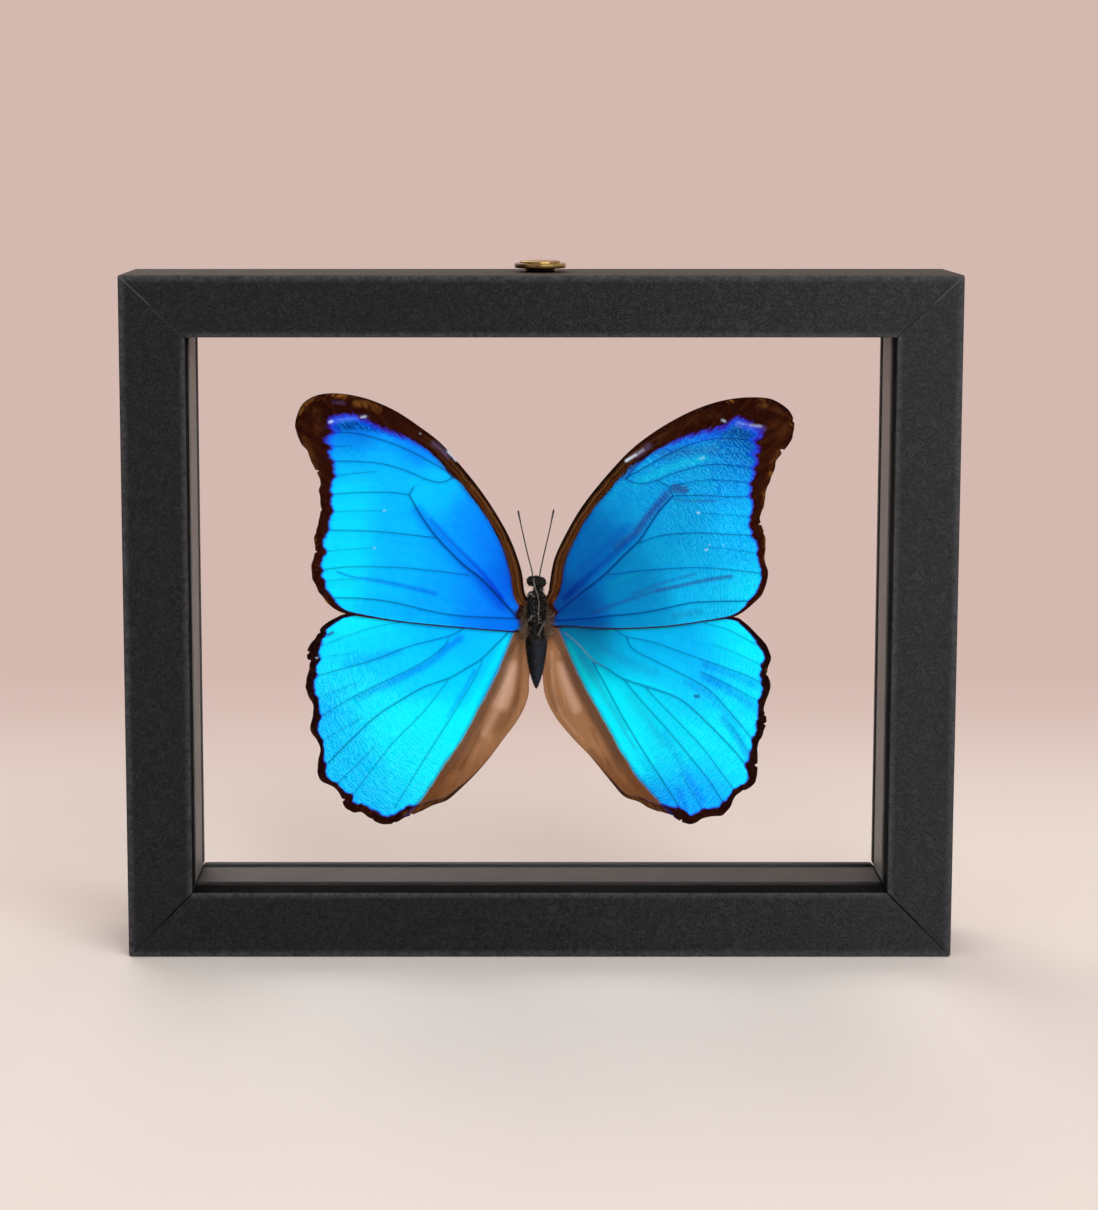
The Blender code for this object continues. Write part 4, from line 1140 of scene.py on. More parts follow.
def wing_under_finish(settings):
    """Mottled brown with pale bands and ringed eyespots."""
    finish = Finish("brown wing underside", Roughness=0.5, Specular_IOR_Level=0.2)
    place = finish.place()
    read, step, blend = finish.attribute, finish.step, finish.blend
    spoke, reach = read("spoke"), read("reach")
    feather = finish.noise(finish.vector(spoke * 70.0, reach * 0.3), 1.0, 3.0, 0.6)
    ripple = finish.noise(finish.vector(spoke * 12.0, reach * 1.3, 3.0), 1.0, 4.0, 0.6)
    grain = finish.noise(place, 3.2, 2.0, 0.6)
    base = blend(ripple, settings.underside, (0.2, 0.125, 0.075))
    base = blend(step(feather, 0.55, 0.75) * 0.5, base, (0.05, 0.028, 0.016))
    cloud = finish.noise(place, 0.16, 4.0, 0.6)
    band = read("band") + (feather - 0.5) * 0.7 + (grain - 0.5) * 0.4 + (cloud - 0.5) * 1.5
    base = blend(step(cloud, 0.42, 0.7) * 0.5, base, (0.045, 0.026, 0.016))
    base = blend(step(band, 0.3, 0.75) * 0.75, base, (0.4, 0.3, 0.2))
    ring = read("ring") + (grain - 0.5) * 0.12
    spots = finish.ramp(
        ring * 0.8,
        [
            (0.0, (0.8, 0.8, 0.84)), (0.09, (0.6, 0.62, 0.7)), (0.14, (0.01, 0.009, 0.01)),
            (0.4, (0.012, 0.01, 0.01)), (0.47, (0.42, 0.23, 0.05)), (0.62, (0.5, 0.3, 0.08)),
            (0.68, (0.02, 0.012, 0.008)), (0.8, (0.03, 0.018, 0.01)),
        ],
    )
    base = blend(step(ring, 1.06, 0.97), base, spots)
    line = step(read("vein"), 0.22, 0.02)
    base = blend(line * 0.65, base, (0.26, 0.16, 0.08))
    edge = step(read("border") + (feather - 0.5) * 0.4, 0.7, 0.4)
    base = blend(edge * 0.7, base, (0.04, 0.022, 0.014))
    finish.put("Base Color", base)
    finish.put("Roughness", (0.42 + 0.2 * grain).clamped())
    finish.bump(ripple * 0.6 + feather * 0.3 + grain * 0.3, 0.45, 0.14)
    return finish


def cuticle_finish(settings):
    """Black cuticle with pale specks and a grey bloom, slate on the abdomen's middle and right in
    painted light, and glossy at the eyes.
    """
    finish = Finish("black cuticle", Specular_IOR_Level=0.09)
    place = finish.place()
    read, step, blend = finish.attribute, finish.step, finish.blend
    grain = finish.noise(place, 2.4, 4.0, 0.7)
    scales = finish.cells(place, 4.5)
    cloud = finish.noise(place, 0.45, 4.0, 0.6)
    abdomen, eye, joint = read("abdomen"), read("eye"), read("joint")
    # Painted light: the abdomen's slate shows in its middle and towards its right, and its left
    # stays black.
    slate = blend(read("crown"), settings.cuticle, settings.abdomen)
    base = blend(abdomen, settings.cuticle, slate)
    bloom = step(cloud, 0.55, 0.78) * 0.25 * (1.0 - abdomen)
    base = blend(bloom, base, (0.035, 0.033, 0.033))
    specks = step(finish.noise(place, 1.7, 2.0), 0.65, 0.7) * (1.0 - eye) * (1.0 - 0.9 * abdomen)
    base = blend(specks * 0.8, base, (0.34, 0.29, 0.22))
    base = blend(joint * 0.6, base, (0.006, 0.006, 0.008))
    base = blend(eye * 0.8, base, (0.006, 0.005, 0.005))
    finish.put("Base Color", base)
    finish.put("Roughness", (0.4 + 0.12 * abdomen - 0.2 * eye + 0.2 * (grain - 0.5)).clamped())
    finish.bump(grain * 0.8 + scales * 0.5, 0.5, 0.12)
    return finish


def hair_finish():
    """Hair from black through grey to tan."""
    finish = Finish("body hair", Roughness=0.5, Specular_IOR_Level=0.35)
    tone = finish.attribute("tone")
    grain = finish.noise(finish.place(), 2.0)
    stops = [
        (0.0, (0.004, 0.004, 0.004)), (0.4, (0.025, 0.013, 0.007)),
        (0.7, (0.13, 0.062, 0.026)), (1.0, (0.42, 0.29, 0.16)),
    ]
    finish.put("Base Color", finish.ramp(tone + 0.15 * (grain - 0.5), stops))
    return finish


def thread_finish(name, color, pale, ring_size):
    """Horny threads with close rings and a paler bloom."""
    finish = Finish(name, Specular_IOR_Level=0.45)
    place = finish.place()
    rings = finish.noise(finish.stretch(place, (0.4, 0.4, 1.0)), ring_size, 2.0)
    bloom = finish.noise(place, 1.3, 3.0)
    base = finish.blend(finish.step(bloom, 0.4, 0.7) * 0.6, color, pale)
    grooves = finish.step(rings, 0.55, 0.7) * 0.5
    finish.put("Base Color", finish.blend(grooves, base, (0.01, 0.009, 0.008)))
    finish.put("Roughness", (0.42 + 0.2 * bloom).clamped())
    finish.bump(rings, 0.3, 0.03)
    return finish


def glue_finish():
    """A clear drop of set glue, faintly yellow."""
    finish = Finish(
        "clear glue", Base_Color=(0.96, 0.93, 0.82), IOR=1.46, Transmission_Weight=1.0,
        Roughness=0.08,
    )
    ripples = finish.noise(finish.place(), 0.6, 2.0)
    finish.put("Roughness", 0.05 + 0.1 * ripples)
    finish.bump(ripples, 0.2, 0.05)
    return finish


def floor_finish(settings):
    """A pale floor that goes over into the surroundings further off."""
    finish = Finish("pale floor", Roughness=0.9, Specular_IOR_Level=0.1)
    place = finish.place()
    cloud = finish.noise(place, 0.02, 3.0)
    greyer = tuple(0.97 * c for c in settings.floor_color)
    finish.put("Base Color", finish.blend(cloud, settings.floor_color, greyer))
    finish.put("Roughness", 0.85 + 0.1 * cloud)
    away = finish.add("ShaderNodeVectorMath", {"operation": "LENGTH"}, {0: place}, "Value")
    behind = finish.add("ShaderNodeSeparateXYZ", sockets={0: place}, output="Y")
    direction = behind / away.larger(1.0)
    surroundings = finish.ramp(direction * 0.5 + 0.5, surroundings_stops(settings))
    light = {"Color": surroundings, "Strength": settings.world_strength}
    glow = finish.add("ShaderNodeEmission", sockets=light)
    far = finish.step(behind, 60.0, 330.0).larger(finish.step(away, 500.0, 1400.0))
    near = Value(finish, finish.shader.outputs[0])
    mixed = finish.add("ShaderNodeMixShader", sockets={0: far, 1: near, 2: glow})
    finish.join(finish.nodes["Material Output"].inputs["Surface"], mixed)
    return finish


def surroundings_stops(settings):
    """The surroundings from in front, where they are white, to behind."""
    front = (1.0, 0.985, 0.96)
    behind = tuple(c / settings.world_strength for c in settings.far_color)
    return [(0.0, front), (0.4, front), (0.72, behind), (1.0, behind)]


def section_outline(corners, arc_steps, spacing):
    """A section's outline with its rounded corners, its flats divided, and how round it is."""
    outline = []
    count = len(corners)
    for index, (x, y, radius) in enumerate(corners):
        corner = np.array([x, y])
        start = np.array(corners[index - 1][:2]) - corner
        end = np.array(corners[(index + 1) % count][:2]) - corner
        start, end = start / np.linalg.norm(start), end / np.linalg.norm(end)
        centre = corner + (start + end) * radius
        for step in range(arc_steps + 1):
            turn = math.pi / 2 * step / arc_steps
            point = centre - end * radius * math.cos(turn) - start * radius * math.sin(turn)
            outline.append((*point, 1.0))
    dense = []
    for start, end in zip(outline, outline[1:] + outline[:1]):
        start, end = np.array(start), np.array(end)
        pieces = max(1, int(round(np.linalg.norm((end - start)[:2]) / spacing)))
        for step in range(pieces):
            point = start + (end - start) * step / pieces
            if 0 < step < pieces:
                point[2] = 0.0
            dense.append(point)
    return np.array(dense)


def ring_faces(rows, around, first=0):
    """The faces between closed rings of points that follow one another."""
    faces = []
    for start in range(first, first + (rows - 1) * around, around):
        for index in range(around):
            a, b = start + index, start + (index + 1) % around
            faces.append((a, b, b + around, a + around))
    return faces


def end_faces(rows, around):
    """The faces that close the first and the last of such rings."""
    last = (rows - 1) * around
    return [tuple(range(around))[::-1], tuple(range(last, last + around))]


def build_rail(side, settings, finishes):
    """A mitred rail with a rebate behind its lip, wrapped in paper."""
    width = RAIL_WIDTHS[side]
    upright = side in ("left", "right")
    low_end, high_end = ("bottom", "top") if upright else ("left", "right")
    low, high = (FRAME_BOTTOM, FRAME_TOP) if upright else (FRAME_LEFT, FRAME_RIGHT)
    edge = {"left": FRAME_LEFT, "right": FRAME_RIGHT, "bottom": FRAME_BOTTOM, "top": FRAME_TOP}
    inward = 1.0 if side in ("left", "bottom") else -1.0
    corners = [
        (0.0, FRAME_FRONT, OUTER_ROUND), (width, FRAME_FRONT, INNER_ROUND),
        (width, FRAME_FRONT + LIP_DEPTH, REBATE_ROUND),
        (width - RABBET, FRAME_FRONT + LIP_DEPTH, REBATE_ROUND),
        (width - RABBET, FRAME_BACK, INNER_ROUND), (0.0, FRAME_BACK, OUTER_ROUND),
    ]
    section = section_outline(corners, arc_steps=5, spacing=settings.grain_step)
    steps = int((high - low) / settings.grain_step)
    inner = np.linspace(0.012, 0.988, steps)
    shares = np.concatenate([[0.0, 0.0008, 0.003], inner, [0.997, 0.9992, 1.0]])
    shrinks = [0.1, 0.03] + [0.0] * (len(shares) - 4) + [0.03, 0.1]
    middle = section[:, :2].mean(axis=0)
    vertices, values = [], {"edge": [], "fade": [], "mitre": [], "dust": []}
    for share, shrink in zip(shares, shrinks):
        for across, depth, arc in section:
            start = low + across * RAIL_WIDTHS[low_end] / width + MITRE_GAP
            end = high - across * RAIL_WIDTHS[high_end] / width - MITRE_GAP
            along = start + (end - start) * share
            toward = np.array([across, depth]) - middle
            across_in = across - shrink * np.sign(toward[0])
            depth_in = depth - shrink * np.sign(toward[1])
            level = edge[side] + inward * across_in
            x, z = (level, along) if upright else (along, level)
            place = Vector((x, depth_in, z))
            lift = noise.noise(place * 0.9) * 0.6 + noise.noise(place * 0.22) * 0.7
            lift *= settings.crinkle * (0.2 if arc else 1.0)
            if min(abs(depth - FRAME_FRONT), abs(depth - FRAME_BACK)) < 1e-6:
                place.y += max(lift, 0.0) if depth < 0 else -max(lift, 0.0)
            elif across < 1e-6:
                level_shift = inward * max(lift, 0.0)
                place += Vector((level_shift, 0, 0)) if upright else Vector((0, 0, level_shift))
            vertices.append(place)
            # Painted light: grows from the frame's left to its right.
            values["fade"].append(min(1.0, max(0.0, (place.x + 20.0) / 125.0)))
            outside = depth < FRAME_FRONT + 1.0 or depth > FRAME_BACK - 1.0
            values["edge"].append(arc if outside else 0.0)
            values["mitre"].append(min(along - start, end - along) + 0.05)
            # Painted sheen on the top rail's top face.
            values["dust"].append(1.0 if side == "top" and across < 0.4 else 0.0)
    round_corners(vertices)
    count = len(section)
    # The lip's inner wall and the rebate take the darker inner-wall paper: painted shade.
    within = [
        across > width - RABBET - 0.01 and FRAME_FRONT + 0.3 < depth < FRAME_BACK - 0.4
        for across, depth, _ in section
    ]
    walls = [1 if here and after else 0 for here, after in zip(within, within[1:] + within[:1])]
    faces = ring_faces(len(shares), count) + end_faces(len(shares), count)
    kinds = walls * (len(shares) - 1) + [0, 0]
    made = make_object(f"{side}_rail", vertices, faces, finishes, values, kinds)
    face_outwards(made)
    made.data.set_sharp_from_angle(angle=math.radians(50.0))
    return settle(made, "frame_wrap", f"rail_{side}")


def round_corners(vertices):
    """Brings points beyond the frame's four rounded outer corners onto their arc."""
    radius = OUTER_ROUND
    for place in vertices:
        x_edge, x_sign = (FRAME_RIGHT, 1.0) if place.x > 0 else (FRAME_LEFT, -1.0)
        z_edge, z_sign = (FRAME_TOP, 1.0) if place.z > BODY_HEIGHT else (FRAME_BOTTOM, -1.0)
        centre = Vector((x_edge - x_sign * radius, z_edge - z_sign * radius))
        away = Vector((place.x, place.z)) - centre
        if away.x * x_sign > 0 and away.y * z_sign > 0 and away.length > radius:
            away *= radius / away.length
            place.x, place.z = centre + away


def face_outwards(made):
    """Turns the faces of a closed mesh outwards."""
    shape = bmesh.new()
    shape.from_mesh(made.data)
    bmesh.ops.recalc_face_normals(shape, faces=shape.faces)
    shape.to_mesh(made.data)
    shape.free()


def build_pane(node, finish):
    """A pane of glass with eased edges."""
    low, high = box_mm(node)
    shape = bmesh.new()
    bmesh.ops.create_cube(shape, size=1.0)
    for vert in shape.verts:
        vert.co = Vector(tuple(low[a] if vert.co[a] < 0 else high[a] for a in range(3)))
    bevel = {"offset": PANE_EASE, "segments": 2, "affect": "EDGES", "profile": 0.5}
    bmesh.ops.bevel(shape, geom=shape.edges[:], **bevel)
    bmesh.ops.scale(shape, vec=(MM, MM, MM), verts=shape.verts)
    mesh = bpy.data.meshes.new(node)
    shape.to_mesh(mesh)
    shape.free()
    mesh.materials.append(finish.material)
    pane = bpy.data.objects.new(f"{node}_pane", mesh)
    bpy.context.scene.collection.objects.link(pane)
    pane.visible_shadow = False
    return settle(pane, "clear_glass", node)


def turned_shape(profile, sides):
    """Vertices and faces turned about the upright axis from a closed (radius, height) profile."""
    vertices, faces, rings = [], [], []
    for radius, height in profile:
        first = len(vertices)
        if radius == 0.0:
            vertices.append((0.0, 0.0, height))
            rings.append([first] * sides)
            continue
        for step in range(sides):
            angle = 2 * math.pi * step / sides
            vertices.append((radius * math.cos(angle), radius * math.sin(angle), height))
        rings.append(list(range(first, first + sides)))
    for lower, upper in zip(rings, rings[1:]):
        for step in range(sides):
            after = (step + 1) % sides
            corner = [lower[step], lower[after], upper[after], upper[step]]
            kept = [c for c, before in zip(corner, corner[-1:] + corner) if c != before]
            faces.append(tuple(kept))
    return vertices, faces


def build_knob(finish):
    """The turned brass knob on the frame's top."""
    low, high = box_mm("brass_knob")
    reach = (high.x - low.x) / 2
    profile = [
        (0.0, 0.0), (3.4, 0.0), (4.0, 0.04), (3.8, 0.25), (3.75, 0.6), (3.95, 0.82), (4.4, 0.9),
        (6.15, 0.9), (6.36, 0.95), (6.47, 1.07), (6.5, 1.25), (6.5, 1.75), (6.47, 1.93),
        (6.36, 2.05), (6.15, 2.1), (5.3, 2.12), (5.16, 2.16), (5.1, 2.24), (5.08, 2.5),
        (5.0, 2.62), (4.8, 2.69), (4.3, 2.73), (3.0, 2.77), (1.5, 2.79), (0.0, 2.8),
    ]
    vertices, faces = turned_shape(profile, sides=128)
    # Painted shade: darker towards the knob's left below its cap, and darker still under its
    # flange.
    shade = [0.55 - 0.45 * x / reach if z < 2.6 else 0.12 for x, _, z in vertices]
    shade = [s + (0.35 if z < 1.0 else 0.0) for s, (_, _, z) in zip(shade, vertices)]
    shade = [min(1.0, max(0.0, s)) for s in shade]
    middle_x, middle_y = (low.x + high.x) / 2, (low.y + high.y) / 2
    placed = [(x + middle_x, y + middle_y, z + low.z) for x, y, z in vertices]
    made = make_object("knob", placed, faces, [finish], {"shade": shade})
    face_outwards(made)
    made.data.set_sharp_from_angle(angle=math.radians(40.0))
    return settle(made, "brass", "brass_knob")


def nibbled(edge, step):
    """The outline with its free margin worn into small nicks and waves."""
    along = np.roll(edge, -1, axis=0)[:, :2] - np.roll(edge, 1, axis=0)[:, :2]
    along /= np.linalg.norm(along, axis=1)[:, None]
    inward = np.column_stack([-along[:, 1], along[:, 0]])
    middle = edge[:, :2].mean(axis=0)
    inward *= np.sign(((middle - edge[:, :2]) * inward).sum())
    free = soft_step(edge[:, 2], 1.3, 2.0) * soft_step(np.abs(edge[:, 0]), 26.0, 36.0)
    free *= 1.0 - soft_step(edge[:, 1] - 0.35 * np.abs(edge[:, 0]), 24.0, 32.0)
    reach = np.arange(len(edge)) * step
    side = float(np.sign(middle[0]))
    wave = np.array([noise.noise(Vector((r * 0.55, side, 3.0))) for r in reach])
    nick = np.array([noise.noise(Vector((r * 0.8, side, 8.0))) for r in reach])
    depth = 0.28 * wave + 0.75 * soft_step(nick, 0.3, 0.55)
    worn = edge.copy()
    worn[:, :2] += inward * (depth * free)[:, None]
    return worn


def wing_layout(outline, veins, step):
    """The places of a wing's mesh points and its triangles, with points along edges and veins."""
    edge = even_line(smooth_line(np.vstack([outline, outline[:1]]), 8), step * 0.9)[:-1]
    edge = nibbled(edge, step * 0.9)
    points = [tuple(place) for place in edge[:, :2]]
    links = []
    held = np.array(points)
    for _, _, _, *route in veins:
        line = even_line(smooth_line(pairs(route), 6), step * 0.95)
        inner = inside(line, edge[:, :2])
        gaps, _, _ = beside_line(line, np.vstack([edge, edge[:1]]))
        before = None
        for (x, z), within, gap in zip(line, inner, gaps):
            if not within or gap < step * 0.5:
                before = None
                continue
            offsets = np.hypot(held[:, 0] - x, held[:, 1] - z)
            nearest = int(offsets.argmin())
            if offsets[nearest] < step * 0.45:
                index = nearest
            else:
                index = len(held)
                held = np.vstack([held, (x, z)])
            if before is not None and before != index:
                links.append((before, index))
            before = index
    low, high = held.min(axis=0), held.max(axis=0)
    rows = []
    for row, z in enumerate(np.arange(low[1], high[1], step * 0.866)):
        xs = np.arange(low[0], high[0], step) + (step / 2 if row % 2 else 0.0)
        rows.append(np.column_stack([xs, np.full(len(xs), z)]))
    grid = np.vstack(rows)
    grid = grid[inside(grid, edge[:, :2])]
    tree = kdtree.KDTree(len(held))
    for index, (x, z) in enumerate(held):
        tree.insert((x, z, 0.0), index)
    tree.balance()
    free = [(x, z) for x, z in grid if tree.find((x, z, 0.0))[2] > step * 0.62]
    every = [Vector(place) for place in np.vstack([held, free])]
    found = delaunay_2d_cdt(every, links, [list(range(len(edge)))], 1, 1e-5)
    return np.array([tuple(place) for place in found[0]]), found[2], edge


def build_wing(
    node, depth, outline, veins, washes, strokes, bands, eyespots, panel, settings, finishes
):
    """A membrane with raised veins, blue scales in front and the brown pattern behind."""
    fore = node.startswith("forewing")
    side = -1.0 if outline[0][0] < 0 else 1.0
    places, triangles, edge = wing_layout(outline, veins, settings.mesh_step)
    count = len(places)
    root = np.array([side * 1.5, 1.5 if fore else -2.0])
    away = places - root
    reach = np.hypot(away[:, 0], away[:, 1])
    spoke = np.arctan2(away[:, 1], away[:, 0] * side)

    root_share = reach / (3.4 if fore else 3.0)
    margin = border_share(places, edge) * (1.0 if fore else 1.15)
    border = np.minimum(np.minimum(margin, root_share), 4.0)
    values = {"reach": reach, "spoke": spoke, "border": border}
    values["vein"], values["ink"] = np.full(count, FAR_OFF), np.zeros(count)
    ridge = np.zeros(count)
    for near, far, darkness, *route in veins:
        gap, share, _ = beside_line(places, smooth_line(pairs(route), 6))
        half_width = near + (far - near) * share
        closer = gap - half_width < values["vein"]
        values["vein"][closer] = (gap - half_width)[closer]
        values["ink"][closer] = darkness * VEIN_INKS[node]
        bulge = np.exp(-((gap / (half_width + 0.16)) ** 2)) * (half_width / 0.2)
        ridge = np.maximum(ridge, bulge)
    values["hue"], values["light"] = wash_values(places, washes)
    values["light"] **= 2.2
    values["tooth"] = np.full(count, 0.16 if fore else 0.3)
    values["chip"] = soft_step(np.abs(places[:, 0]), 40.0, 52.0)
    for channel in ("deep", "dusk", "mottle", "glint", "lilac", "warm", "bright"):
        values[channel] = stroke_strength(places, strokes.get(channel, ()))
    if panel is None:
        values["panel"] = np.full(count, NO_PANEL)
        for channel in ("low", "gloss", "shade"):
            values[channel] = np.zeros(count)
    else:
        gap, _, line_side = beside_line(places, smooth_line(np.array(panel), 6))
        values["panel"] = gap * line_side * -side
        values["low"] = soft_step(-places[:, 1], 33.0, 46.0)
        values["gloss"] = stroke_strength(places, PANEL_HIGHLIGHT_LEFT if side < 0 else PANEL_HIGHLIGHT_RIGHT)
        values["shade"] = stroke_strength(places, SHADE_LEFT if side < 0 else SHADE_RIGHT)
    values["ruffle"] = soft_step(reach, 22.0, 55.0) * RUFFLES[node]
    if panel is not None:
        values["ruffle"] *= 0.35 + 0.65 * soft_step(-places[:, 1], 4.0, 20.0)
    right_side = np.column_stack([places[:, 0] * side, places[:, 1]])
    values["band"] = stroke_strength(right_side, bands)
    ring = np.full(count, FAR_OFF)
    for x, z, radius in eyespots:
        ring = np.minimum(ring, np.hypot(right_side[:, 0] - x, right_side[:, 1] - z) / radius)
    values["ring"] = ring

    between = np.clip(values["vein"], 0.0, 3.0) / 3.0
    sway = np.array([noise.noise(Vector((x * 0.06, z * 0.06, depth))) for x, z in places])
    pucker = np.array(
        [noise.noise(Vector((s * 14.0, r * 0.5, 7.0 + depth))) for s, r in zip(spoke, reach)]
    )
    relief = -settings.vein_height * np.minimum(ridge, 1.4) + 0.16 * between
    relief += 0.22 * sway + 0.07 * pucker * soft_step(reach, 8.0, 30.0)
    if panel is not None:
        fold = np.sin(values["panel"] * 0.75) * soft_step(values["panel"], 0.0, 3.0)
        relief += 0.12 * fold
    relief *= soft_step(border, 0.0, 0.12) * 0.5 + 0.5
    level = depth - np.abs(places[:, 0]) * WING_RISE + relief
    half = settings.thickness / 2
    front = [on_butterfly(x, y - half, z) for (x, z), y in zip(places, level)]
    back = [on_butterfly(x, y + half, z) for (x, z), y in zip(places, level)]
    faces = [tuple(t) for t in triangles]
    faces += [tuple(i + count for i in reversed(t)) for t in triangles]
    kinds = [0] * len(triangles) + [1] * len(triangles)
    sides = dict.fromkeys(pair for t in triangles for pair in zip(t, t[1:] + t[:1]))
    for start, end in sides:
        if (end, start) not in sides:
            faces.append((end, start, start + count, end + count))
            kinds.append(0)
    doubled = {key: np.concatenate([value, value]) for key, value in values.items()}
    name = f"{node}_membrane"
    made = make_object(name, front + back, faces, finishes, doubled, kinds, smooth_angle=70.0)
    return settle(made, "wing_scales", node)


def lobe(centre, radii, sides=24):
    """Vertices and faces of a rounded lobe."""
    profile = [(math.sin(math.pi * k / 14), -math.cos(math.pi * k / 14)) for k in range(15)]
    profile[0], profile[-1] = (0.0, -1.0), (0.0, 1.0)
    vertices, faces = turned_shape(profile, sides)
    placed = [tuple(c + v * r for c, v, r in zip(centre, vertex, radii)) for vertex in vertices]
    return placed, faces


def skin_over(name, shells, step):
    """One closed skin over overlapping closed shells."""
    vertices, faces = joined(shells)
    rough = bpy.data.meshes.new(name)
    rough.from_pydata((np.array(vertices) * MM).tolist(), [], faces)
    carrier = bpy.data.objects.new(name, rough)
    bpy.context.scene.collection.objects.link(carrier)
    remesh = carrier.modifiers.new("skin", "REMESH")
    remesh.mode = "VOXEL"
    remesh.voxel_size = step * MM
    graph = bpy.context.evaluated_depsgraph_get()
    skin = carrier.evaluated_get(graph).to_mesh()
    places = np.empty(len(skin.vertices) * 3, np.float32)
    skin.vertices.foreach_get("co", places)
    normals = np.empty(len(skin.vertices) * 3, np.float32)
    skin.vertex_normals.foreach_get("vector", normals)
    quads = [tuple(polygon.vertices) for polygon in skin.polygons]
    carrier.to_mesh_clear()
    bpy.data.objects.remove(carrier)
    bpy.data.meshes.remove(rough)
    return places.reshape(-1, 3) / MM, normals.reshape(-1, 3), quads


def trunk_shell(sides=48):
    """The trunk from the abdomen's tip to the neck, pinched at the abdomen's joints."""
    rings = smooth_line(np.array(TRUNK), 6)
    vertices = []
    for z, half_width, half_depth, behind in rings:
        near = min(abs(z - joint) for joint in ABDOMEN_JOINTS)
        pinch = 1.0 - 0.035 * math.exp(-((near / 0.28) ** 2))
        for step in range(sides):
            angle = 2 * math.pi * step / sides
            x, y = math.cos(angle), math.sin(angle)
            keel = 1.0 + (0.05 * max(-y, 0.0) ** 6 if z < -6.0 else 0.0)
            vertices.append((x * half_width * pinch, behind + y * half_depth * pinch * keel, z))
    return vertices, ring_faces(len(rings), sides) + end_faces(len(rings), sides)


def build_body(settings, finish):
    """Head, thorax and abdomen in one skin."""
    shells = [trunk_shell()] + [lobe(place[:3], place[3]) for place in LOBES + EYES]
    draw = random.Random(12)
    for _ in range(44):
        x, z = draw.uniform(-2.1, 2.1), draw.uniform(-4.2, 6.2)
        depth = -2.1 * math.sqrt(max(0.0, 1.0 - (x / 2.9) ** 2)) * (1.0 - 0.04 * max(z, 0.0))
        size = draw.uniform(0.35, 0.75)
        shells.append(lobe((x, depth, z), (size, size * 0.9, size * draw.uniform(0.9, 1.5)), 12))
    places, normals, quads = skin_over("body skin", shells, settings.skin_step)
    eye = np.zeros(len(places))
    for x, y, z, radii in EYES:
        away = np.linalg.norm((places - (x, y, z)) / radii, axis=1)
        eye = np.maximum(eye, 1.0 - soft_step(away, 1.02, 1.15))
    abdomen = soft_step(-places[:, 2], 4.9, 6.2)
    joint = np.zeros(len(places))
    for height in ABDOMEN_JOINTS:
        joint = np.maximum(joint, np.exp(-(((places[:, 2] - height) / 0.16) ** 2)))
    joint *= abdomen
    lift = np.array(
        [
            0.16 * noise.noise(Vector(place) * 1.1) + 0.07 * noise.noise(Vector(place) * 3.1)
            for place in places
        ]
    )
    lift *= (1.0 - 0.75 * abdomen) * (1.0 - 0.9 * eye)
    shaped = places + normals * lift[:, None]
    # Painted light on the abdomen's middle and right.
    crown = soft_step(places[:, 0], -1.8, 0.4) * (1.0 - 0.35 * soft_step(places[:, 0], 0.5, 2.4))
    values = {"eye": eye, "abdomen": abdomen, "joint": joint, "crown": crown}
    placed = [on_butterfly(*place) for place in shaped]
    made = make_object("trunk", placed, quads, [finish], values)
    return settle(made, "body_cuticle", "body")


def tube(route, radii, sides=8):
    """Vertices and faces of a round thread along a route, rounded off at both ends."""
    route = [Vector(place) for place in route]
    across = None
    rows = []
    for index, place in enumerate(route):
        along = (route[min(index + 1, len(route) - 1)] - route[max(index - 1, 0)]).normalized()
        if across is None:
            guide = Vector((0.0, 1.0, 0.0)) if abs(along.y) < 0.9 else Vector((1.0, 0.0, 0.0))
            across = along.cross(guide)
        across = (across - along * across.dot(along)).normalized()
        other = along.cross(across)
        rows.append((place, across.copy(), other, radii[index]))
    vertices = [tuple(route[0])]
    for place, first, second, radius in rows:
        for step in range(sides):
            angle = 2 * math.pi * step / sides
            way = first * math.cos(angle) + second * math.sin(angle)
            vertices.append(tuple(place + way * radius))
    vertices.append(tuple(route[-1]))
    last = len(vertices) - 1
    faces = ring_faces(len(rows), sides, 1)
    far = last - sides
    for step in range(sides):
        after = (step + 1) % sides
        faces += [(0, 1 + after, 1 + step), (far + step, far + after, last)]
    return vertices, faces


def joined(shells):
    """Several shells' vertices and faces as one."""
    vertices, faces = [], []
    for shell_vertices, shell_faces in shells:
        first = len(vertices)
        vertices.extend(shell_vertices)
        faces.extend(tuple(index + first for index in face) for face in shell_faces)
    return vertices, faces


def build_thread(name, node, slot, route, radius_at, finish, ring_gap, spines=0, seed=1):
    """A jointed thread, such as an antenna or a leg, with short spines if it has any."""
    line = even_line(smooth_line(route, 10), THREAD_STEP, 3)
    total = len(line) - 1
    radii = []
    for index in range(len(line)):
        share = index / total
        groove = 0.1 * max(0.0, math.cos(2 * math.pi * index * THREAD_STEP / ring_gap)) ** 6
        taper = min(1.0, 0.35 + index * 0.3, 0.45 + (total - index) * 0.2)
        radii.append(radius_at(share) * (1.0 - groove) * taper)
    shells = [tube(line, radii, sides=10)]
    draw = random.Random(seed)
    for _ in range(spines):
        index = int(total * draw.uniform(0.3, 0.97))
        along = Vector(line[index + 1] - line[index]).normalized()
        out = Vector((draw.uniform(-1, 1), draw.uniform(-1, 0.3), draw.uniform(-1, 1)))
        out = (out - along * out.dot(along)).normalized() + along * 0.9
        base = Vector(line[index])
        tip = base + out.normalized() * draw.uniform(0.3, 0.5)
        shells.append(tube([base, base.lerp(tip, 0.5), tip], [0.04, 0.026, 0.006], 5))
    vertices, faces = joined(shells)
    made = make_object(name, [on_butterfly(*place) for place in vertices], faces, [finish])
    return settle(made, slot, node)


